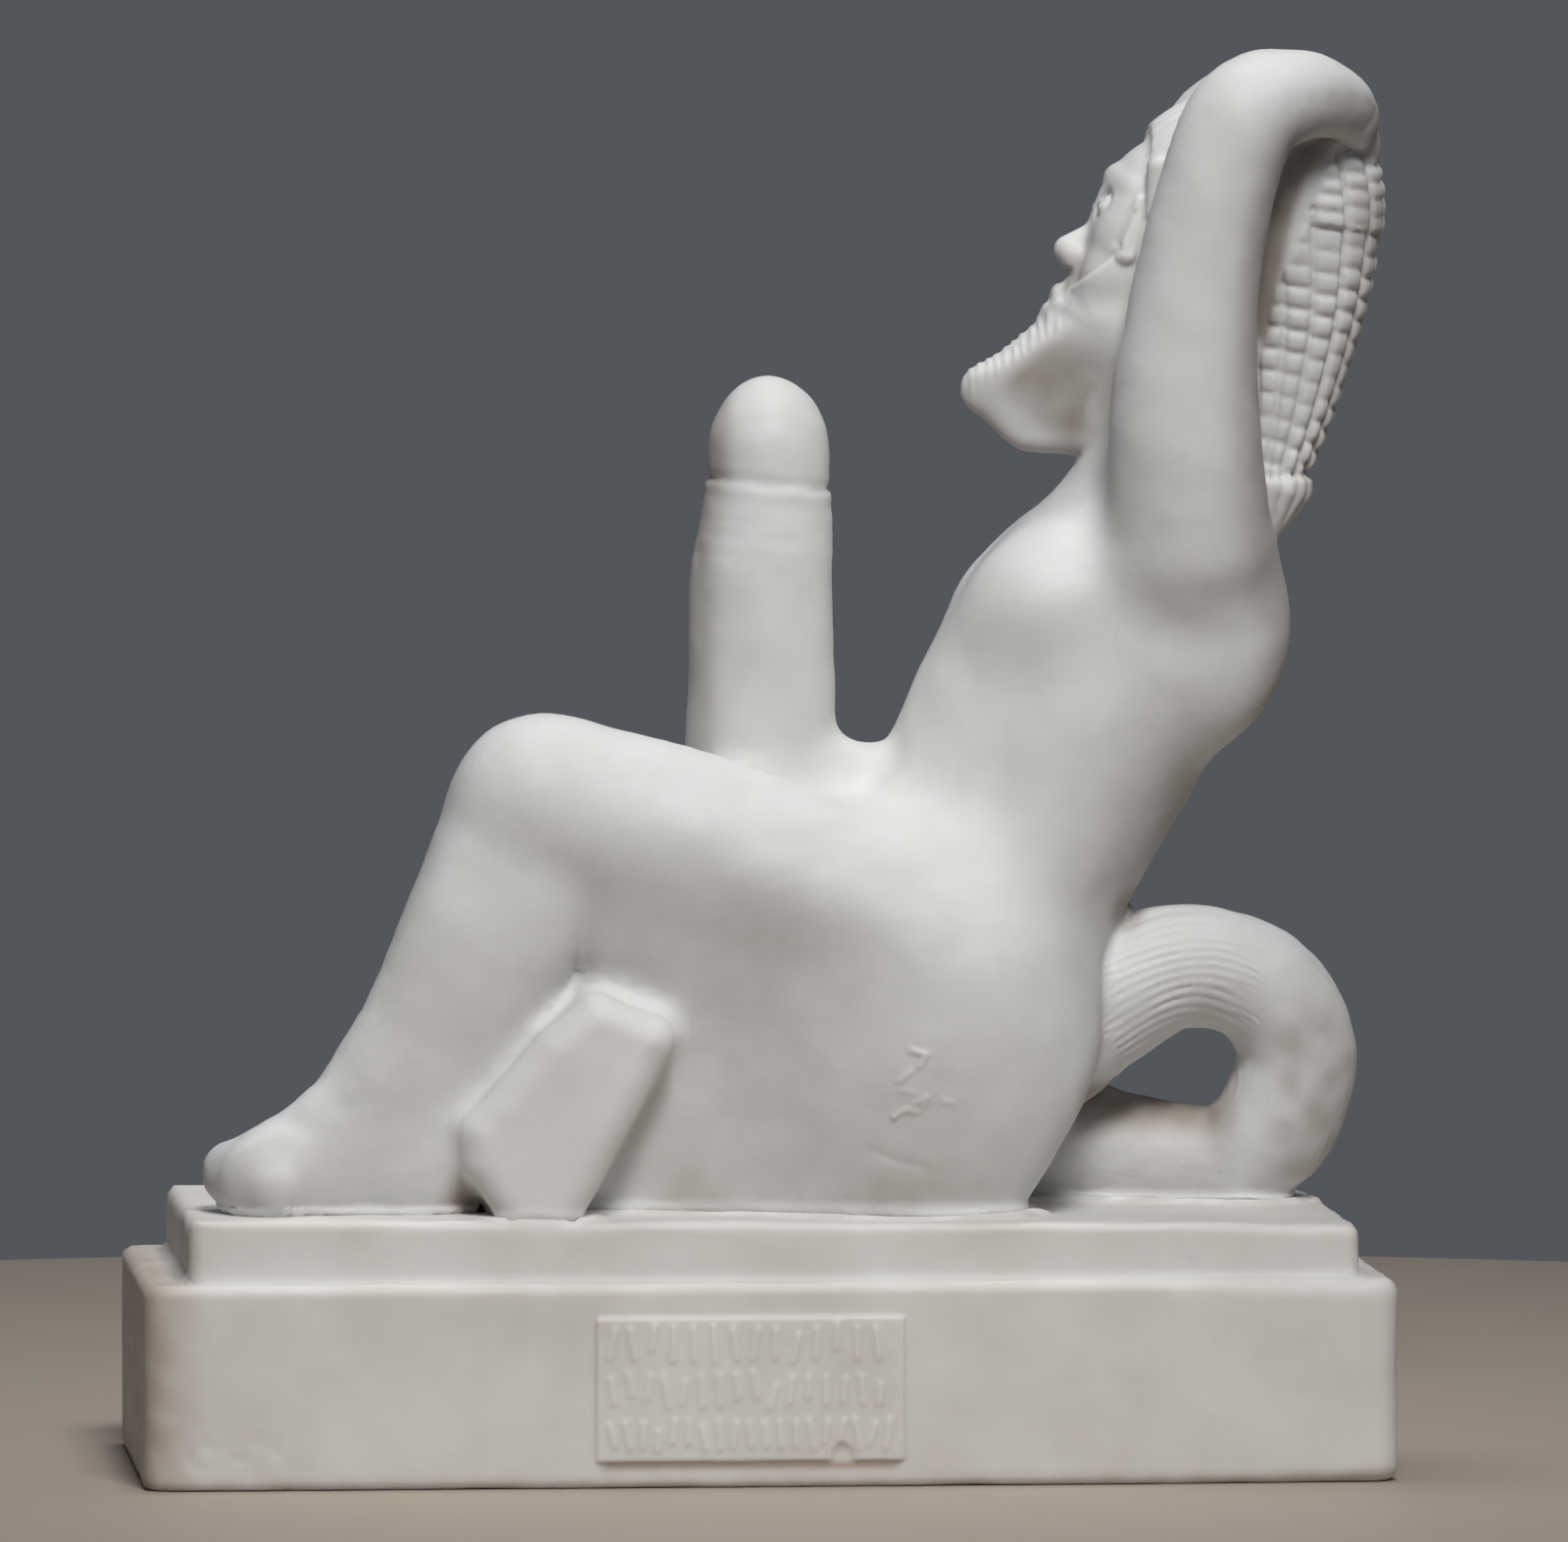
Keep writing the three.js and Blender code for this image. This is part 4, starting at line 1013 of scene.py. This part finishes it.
# Raised flecks and scratches on the near hip: a bent line of x and z, its width and its rise.
FLAWS = (
    (((16.6, 50.9), (18.4, 50.4), (17.6, 49.0)), 0.34, 0.4),
    (((16.6, 48.4), (15.2, 47.2)), 0.3, 0.3),
    (((15.2, 46.2), (17.2, 45.8)), 0.28, 0.16),
    (((14.7, 42.9), (16.0, 43.9), (17.4, 43.6)), 0.3, 0.34),
    (((17.2, 44.6), (18.4, 45.4), (18.0, 44.2)), 0.3, 0.32),
    (((20.4, 45.0), (21.6, 44.6)), 0.28, 0.18),
    (((10.5, 39.4), (14.6, 37.8), (19.3, 36.6)), 0.5, -0.12),
    (((-4.9, 46.0), (-2.4, 43.4), (-0.8, 41.4)), 0.3, -0.16),
    (((10.1, 76.3), (10.2, 76.3)), 0.35, -0.3),
)


@dataclass
class SatyrCasting(Casting):
    """The figure: body, head, hair, tail and the broken strut in one casting."""

    trunk: Trunk = Trunk()
    groin: Groin = Groin()
    head: Head = Head()
    hair: Hair = Hair()
    tail: Tail = Tail()
    strut: Strut = Strut()
    sole: float = 30.3  # height of its underside, a little below the slab's top
    filler: float = 0.9  # how far the filler under it reaches out at the slab
    footing: tuple = (32.6, 31.9)  # heights below which figure and tail run straight down
    # middle and radii of ovals, carved over foot, tip and mound, chased over tail and flaws
    carved: tuple = (((-56, -17, 35), 16), ((2, 0, 119), 15), ((11, -4, 81), 10))
    chased: tuple = (((50, -6, 57), (11.9, 7.14, 8.925)), ((17, -24, 45), (6.23, 8.9, 8.9)))

    def body(self) -> Field:
        """Everything but the head and the hair."""
        figure = grounded(self.footing[0], blend(3.5, self.trunk.field(), self.groin.field()))
        tail = grounded(self.footing[1], self.tail.field())
        return blend(3.2, blend(1.4, figure, tail), self.strut.field())

    def field(self) -> Field:
        """The whole figure, flared by the filler at the slab and cut flat at the soles."""
        crown = blend(0.6, blend(0.5, self.head.field(), self.hair.field()), self.hair.hands())
        whole = blend(0.5, self.body(), crown)

        def field(p: Array) -> Array:
            """Distance to the figure."""
            height = unslope(p)[:, 2]
            low = np.clip((SLAB_TOP + 1.7 - height) / 1.7, 0, 1) ** 2
            if low.any():
                low *= self.filler * (0.65 + 0.4 * lumps(p, 6, 14))
            return np.maximum(whole(p) - low, self.sole - height)

        return field

    def zones(self, p: Array) -> tuple[Array, Array]:
        """Carves feet, tail, strut, tip and joints, and chases hair, near face and hands."""

        def ovals(rows: tuple) -> Array:
            """Whether each point lies in one of these ovals."""
            return np.any([length_of((p - middle) / radii) < 1 for middle, radii in rows], axis=0)

        head = self.head.field()(p)
        near_head = np.maximum(head, np.minimum(p[:, 1] - 2.5, p[:, 2] - 134))
        chased = np.min([near_head, self.hair.field()(p), self.hair.hands()(p)], axis=0) < 0.9
        carved = np.min([head, self.strut.field()(p), self.tail.field()(p)], axis=0) < 1
        carved |= np.abs(unslope(p)[:, 2] - 32.6) < 2.2
        return carved | ovals(self.carved), chased | ovals(self.chased)

    def relief(self, p: Array, normals: Array) -> Array:
        """Beads, strokes, strands, the hand-rubbed unevenness of the skin and its flaws."""
        whole = self.field()(p)
        hair = share_of(self.hair.field()(p), whole)
        head = share_of(self.head.field()(p), whole)
        tail = share_of(self.tail.field()(p), whole, 1.2)
        height = 0.10 * lumps(p, 10, 1) + 0.04 * lumps(p, 4, 2)
        height *= 1 - 0.8 * np.maximum(hair, head)
        height += hair * self.hair.relief(p) + head * self.head.relief(p)
        height += tail * self.tail.relief(p) + self.groin.relief(p)
        near = ease((-p[:, 1] - 12) / 4)
        for line, width, rise in FLAWS:
            height += near * rise * hump(along_line(p, line), width)
        return height

    def tints(self, p: Array, normals: Array) -> dict[str, Array]:
        """Chalky filler along the joints; brown painted shade under things, in hollows and on sides
        turned from the light, with some dirt and patina.
        """
        x, y, z = p.T
        nx, ny, nz = normals.T
        fine = 0.5 + 0.5 * np.clip(lumps(p, 5, 7), -1, 1)
        broad = ease(0.5 + 0.6 * lumps(p, 11, 9))
        height = unslope(p)[:, 2] - SLAB_TOP
        under_flank = zone((x, -16, 8), (x, 24, -10))
        filler = zone((height, 1.9, -1.4)) * (0.5 + 0.5 * fine) * (1 - 0.9 * under_flank)
        groin = zone((length_of((p - [12, -3, 80]) / [5, 7, 4]), 1.2, -0.6))
        neck = zone((length_of((p - [40.3, -8, 125]) / [1.7, 5, 3.6]), 1.1, -0.6))
        strut = share_of(self.strut.field()(p), self.body()(p), 1.0)
        chalk = np.max([filler, 0.8 * groin * fine, 0.9 * neck * fine, 0.35 * strut], axis=0)
        lower_tail = zone((x, 36, 4), (x, 59, -4), (z, 47, -3))
        flank = zone((ny, -0.5, -0.4), (x, -26, 10), (x, 44, -26), (nz, 0.12, -0.4), (z, 78, -16))
        shade_and_dirt = (
            # painted shade under the beard and the arm, and on the undersides behind the raised arm
            0.5 * zone((nz, -0.2, -0.6), (z, 110, 4), (x, 48, -6)),
            0.25 * zone((nz, -0.1, -0.5), (z, 148, 5), (x, 56, 4)),
            # painted shade on the beard's flat sides and the cheek beside it
            self.head.beard_shade(p) * (0.6 + 0.4 * broad),
            # painted shade in the hollow between hair and head, under the arm
            0.8 * zone((along_line(p, self.hair.shade), 2.2, -1.6), (np.abs(y), 11.5, -1.5)),
            # painted shade, mottled, on the outside of the tail's bend, turned from the light; on
            # its lower run dirt and the painted shadow of the upper run, heaviest on top
            (0.12 + 0.3 * fine) * zone((x, 59, 6), (z, 58, -8), (z, 32, 3)),
            lower_tail * (0.2 + 0.65 * zone((z, 37.5, 4))),
            # brown patina on the front of the shaft, deepened by painted shade where it turns from
            # the light
            0.42 * zone((nx, -0.55, -0.4), (z, 76, 6), (np.abs(x), 8, -2), (np.abs(y), 10, -2)),
            # painted shade on the back, which is turned from the light, and in the notch below it
            0.5 * zone((nx, 0.35, 0.55), (x, 26, 8), (z, 62, 10), (nz, 0.4, -0.4)),
            0.6 * zone((length_of((p - [44, 0, 66]) / [1, 6, 1]), 3.5, -2)),
            # painted shade on the near flank under the thigh and deeper at its foot; the near side
            # of the shin and foot a little darker
            0.24 * flank * (1 - 0.8 * chalk) * (0.7 + 0.3 * broad),
            0.4 * under_flank * zone((height, 9, -9)) * (0.4 + 0.6 * broad),
            0.14 * zone((ny, -0.4, -0.4), (x, -18, -8), (z, 70, -12)),
            # painted shade in the pit between heel and strut
            0.9 * zone((length_of(p - [-33.5, -21, 33]), 6, -4)),
        )
        return {"chalk": chalk, "stain_and_shade": np.clip(sum(shade_and_dirt), 0, 1) * (0.7 + 0.3 * fine)}


@dataclass
class PlinthCasting(Casting):
    """The two tiers with the small plaque, and the filler that beds the figure on them."""

    figure: Field | None = None  # what stands on it
    base: tuple = (73.8, 31.6, 24.0)  # half length, half depth, height
    slab: tuple = (69.0, 28.0, SLAB_TOP)  # half length, half depth, height of its top
    slab_x: float = 0.5
    plaque: tuple = (-2.8, 11.6, 18.1, 8.5)  # x, z, half length, half height
    # the rows of marks: height over the plaque's middle, height of the marks, step between them
    rows: tuple = ((5.4, 4.0, 2.4), (-0.1, 3.5, 2.1), (-5.3, 3.3, 1.8))

    def field(self) -> Field:
        """Both tiers, the plaque with its lost corner, and the bedding."""

        def worn(more: float, wave: float, size: float, seed: int) -> Field:
            """Radius of worn edges, rounder towards the right and by waves of that size."""
            return lambda p: (
                0.9 + more * ease((p[:, 0] - 40) / 30) + wave * lumps(p, size, seed).clip(-1, 1)
            )

        length, depth, height = self.base
        base = block((0, 0.4, height / 2), (length, depth, height / 2), 3.2, worn(1.0, 0.25, 7, 11))
        length, depth, top = self.slab
        middle, deep = (top + height - 4) / 2, (top - height + 4) / 2
        slab = block((0, 0, middle), (length, depth, deep), 2.0, worn(0.5, 0.2, 6, 12))
        aside = np.array([self.slab_x, 0, 0])
        x, z, half, tall = self.plaque
        panel = block((x, -30.3, z), (half, 1.4, tall), 0.35, lambda p: 0.35)
        notch = egg([8.0, -32.2, 3.4], [1.6, 1.3, 2.0])
        tiers = blend(0.5, base, lambda p: slab(unslope(p) - aside))
        tiers = blend(0.25, tiers, carve(0.25, panel, notch))

        def bedding(p: Array) -> Array:
            """Distance to the filler that runs round the figure."""
            reach = (1.1 + 0.5 * lumps(p, 4.5, 13)) * ease((p[:, 1] + 27.4) / 1.2)
            height = np.abs(unslope(p)[:, 2] - top) - 0.4 - 0.3 * ease((p[:, 0] - 15) / 25)
            return np.maximum(self.figure(self.raised(p)) - reach, height)

        return blend(1.0, tiers, bedding)

    def raised(self, p: Array) -> Array:
        """The points, lifted to the height of the figure's soles where they lie below it."""
        return np.column_stack([p[:, :2], np.maximum(p[:, 2], 32.0 - SLAB_SLOPE * p[:, 0])])

    def on_plaque(self, p: Array) -> tuple[Array, Array]:
        """How far from the plaque's ends and from its long edges points lie, seen from before."""
        x, z, half, tall = self.plaque
        return half - np.abs(p[:, 0] - x), tall - np.abs(p[:, 2] - z)

    def zones(self, p: Array) -> tuple[Array, Array]:
        """Carves the bedding, the edges and the pitted corner, and chases the plaque."""
        x, y, z = p.T
        carved = (z > 29) & (np.abs(self.figure(self.raised(p))) < 3.2)
        carved |= (y < -27) & ((z < 3) | (z > 21.5) | (x < -50) & (z < 13))
        return carved, (y < -30) & (np.min(self.on_plaque(p), axis=0) > -1.5)

    def relief(self, p: Array, normals: Array) -> Array:
        """Soft marks on the plaque, waves in the faces and the flaked lower corner."""
        x, y, z = p.T
        height = 0.10 * lumps(p, 14, 21) + 0.02 * lumps(p, 3.5, 22)
        height += 0.12 * lumps(p, 22, 23) * ease((z - 29.5) / 0.8)
        ends, edges = self.on_plaque(p)
        height += zone((y, -30.9, -0.3), (ends, 0, 0.5), (edges, 0, 0.5)) * self.marks(p)
        corner = zone((x, -48, -14), (z, 11, -6), (y, -29, -2))
        flakes = np.clip(lumps(p, 3.2, 24) + 0.5 * lumps(p, 1.6, 25) - 0.35, 0, 1)
        return height - 0.3 * corner * flakes

    def marks(self, p: Array) -> Array:
        """Three rows of worn upright strokes and dots, which spell nothing."""
        rng = np.random.default_rng(4)
        x, z, half, _ = self.plaque
        height = np.zeros(len(p))
        for over, tall, step in self.rows:
            for place in np.arange(x - half + 1.8, x + half - 1.4, step):
                lean, rise = rng.uniform(-0.35, 0.35), rng.uniform(0.3, 0.5) * tall
                middle = z + over + rng.uniform(-0.25, 0.25) * tall * (rise < 0.38 * tall)
                ends = ((place - lean, middle - rise), (place + lean, middle + rise))
                near = np.abs(p[:, 0] - place) < 2
                stroke = hump(along_line(p[near], ends), 0.36)
                height[near] = np.maximum(height[near], stroke)
        return 0.3 * height

    def tints(self, p: Array, normals: Array) -> dict[str, Array]:
        """Chalky bedding; a brown line under the plaque's lower edge; painted shade on the left end,
        which is turned from the light; darker along the bottom; a mottled warm tint over the
        bedding.
        """
        x, y, z = p.T
        uneven = 0.5 + 0.5 * np.clip(lumps(p, 5, 27), -1, 1)
        chalk = zone((self.figure(self.raised(p)), 2, -1.6), (z, 29.8, 0.6))
        ends, _ = self.on_plaque(p)
        lower_edge = self.plaque[1] - self.plaque[3]
        under = hump(z - lower_edge + 0.5, 0.5) * zone((ends, 0, 1.5), (y, -31, -0.2))
        # a brown line under the plaque's lower edge, and painted shade on the left end, which is
        # turned from the light
        stain_and_shade = 0.6 * under + 0.6 * zone((x, -66, -6)) * (0.6 + 0.4 * uneven)
        # darker along the bottom
        stain_and_shade += 0.25 * zone((z, 2.5, -2.5)) * uneven
        # a mottled warm tint over the bedding
        stain_and_shade += 0.5 * chalk * ease(0.4 + 0.8 * lumps(p, 9, 28))
        chalk *= 0.4 + 0.4 * uneven
        return {"chalk": chalk, "stain_and_shade": np.clip(stain_and_shade, 0, 1)}


# The studio


@dataclass(frozen=True)
class Softbox:
    """A square white softbox that faces the figure."""

    name: str
    place: tuple  # in metres
    size: float  # its side in metres
    watts: float
    spread: float  # how widely it shines, in degrees, which its grid narrows
    aim: tuple = (0.0, 0.0, 0.08)

    def hang(self) -> None:
        """Hangs it in the scene."""
        lamp = bpy.data.lights.new(self.name, "AREA")
        lamp.size, lamp.energy = self.size, self.watts
        lamp.spread = math.radians(self.spread)
        made = placed(self.name, lamp)
        made.location = self.place
        way = Vector(self.aim) - Vector(self.place)
        made.rotation_euler = way.to_track_quat("-Z", "Y").to_euler()


@dataclass(frozen=True)
class Studio:
    """Floor, lights, backdrop colour and the camera at the photograph's angle."""

    azimuth: float = -4.8  # degrees, towards the figure's front
    elevation: float = 3.06
    distance: float = 2000.0
    scale: float = 8.57  # pixels to the millimetre at the origin
    width: float = 1600.0  # of the photograph, in pixels
    height: float = 1573.0
    origin_px: tuple = (768.0, 1492.0)  # where the photograph shows the origin
    floor_radius: float = 310.0
    table: str = "#aa9d8f"
    room: str = "#53565b"
    softboxes: tuple = (
        Softbox("softbox_key", (0.06, -0.80, 0.88), 0.3, 0.5, 36),
        Softbox("softbox_top", (0.0, 0.1, 1.18), 0.2, 0.25, 50),
    )

    def camera(self) -> None:
        """Puts the camera where the photograph was taken from."""
        a, e = math.radians(self.azimuth), math.radians(self.elevation)
        back = Vector((math.sin(a) * math.cos(e), -math.cos(a) * math.cos(e), math.sin(e)))
        right = Vector((math.cos(a), math.sin(a), 0))
        up = back.cross(right)
        look = right * ((self.width / 2 - self.origin_px[0]) / self.scale)
        look += up * ((self.origin_px[1] - self.height / 2) / self.scale)
        lens = bpy.data.cameras.new("camera")
        lens.sensor_width = 36
        lens.lens = 18 * self.distance / (self.width / 2 / self.scale)
        lens.clip_start, lens.clip_end = 0.1, 20
        made = placed("camera", lens)
        turn = Matrix((right, up, back)).transposed().to_4x4()
        made.matrix_world = Matrix.Translation((look + back * self.distance) * MM) @ turn
        bpy.context.scene.camera = made

    def floor(self) -> None:
        """Lays a plain pale table top under the plinth."""
        mesh = bpy.data.meshes.new("table_top")
        with opened(mesh) as tool:
            bmesh.ops.create_circle(tool, cap_ends=True, radius=self.floor_radius * MM, segments=128)
        made = placed("table_top", mesh)
        # painted board: its even, matt skin gives the casting a soft shadow and no mirror
        paint = bpy.data.materials.new("matt board")
        paint.use_nodes = True
        shader = paint.node_tree.nodes["Principled BSDF"]
        shader.inputs["Base Color"].default_value = linear(self.table)
        shader.inputs["Roughness"].default_value = 0.6
        mesh.materials.append(paint)

    def build(self) -> None:
        """Sets up everything round the object."""
        self.camera()
        self.floor()
        world = bpy.data.worlds.new("grey room")
        world.use_nodes = True
        world.node_tree.nodes["Background"].inputs["Color"].default_value = linear(self.room)
        bpy.context.scene.world = world
        bpy.context.scene.view_settings.view_transform = "Standard"
        for softbox in self.softboxes:
            softbox.hang()


def main() -> None:
    """Builds the castings and the studio."""
    logging.basicConfig(level=logging.INFO, format="%(message)s")
    figure = SatyrCasting(
        "satyr_casting", "satyr", "figure_alabaster", 1.35,
        CastAlabaster("cast alabaster", "#dcdcda", "#d2d1ce", "#e9e8e6", "#867564"),
    )
    figure.build()
    PlinthCasting(
        "plinth_casting", "plinth", "plinth_alabaster", 1.25,
        CastAlabaster("cast alabaster, plinth", "#dad8d4", "#d1cdc8", "#e6e5e3", "#9a8069"),
        figure=figure.body(),
    ).build()
    Studio().build()


if __name__ == "__main__":
    main()
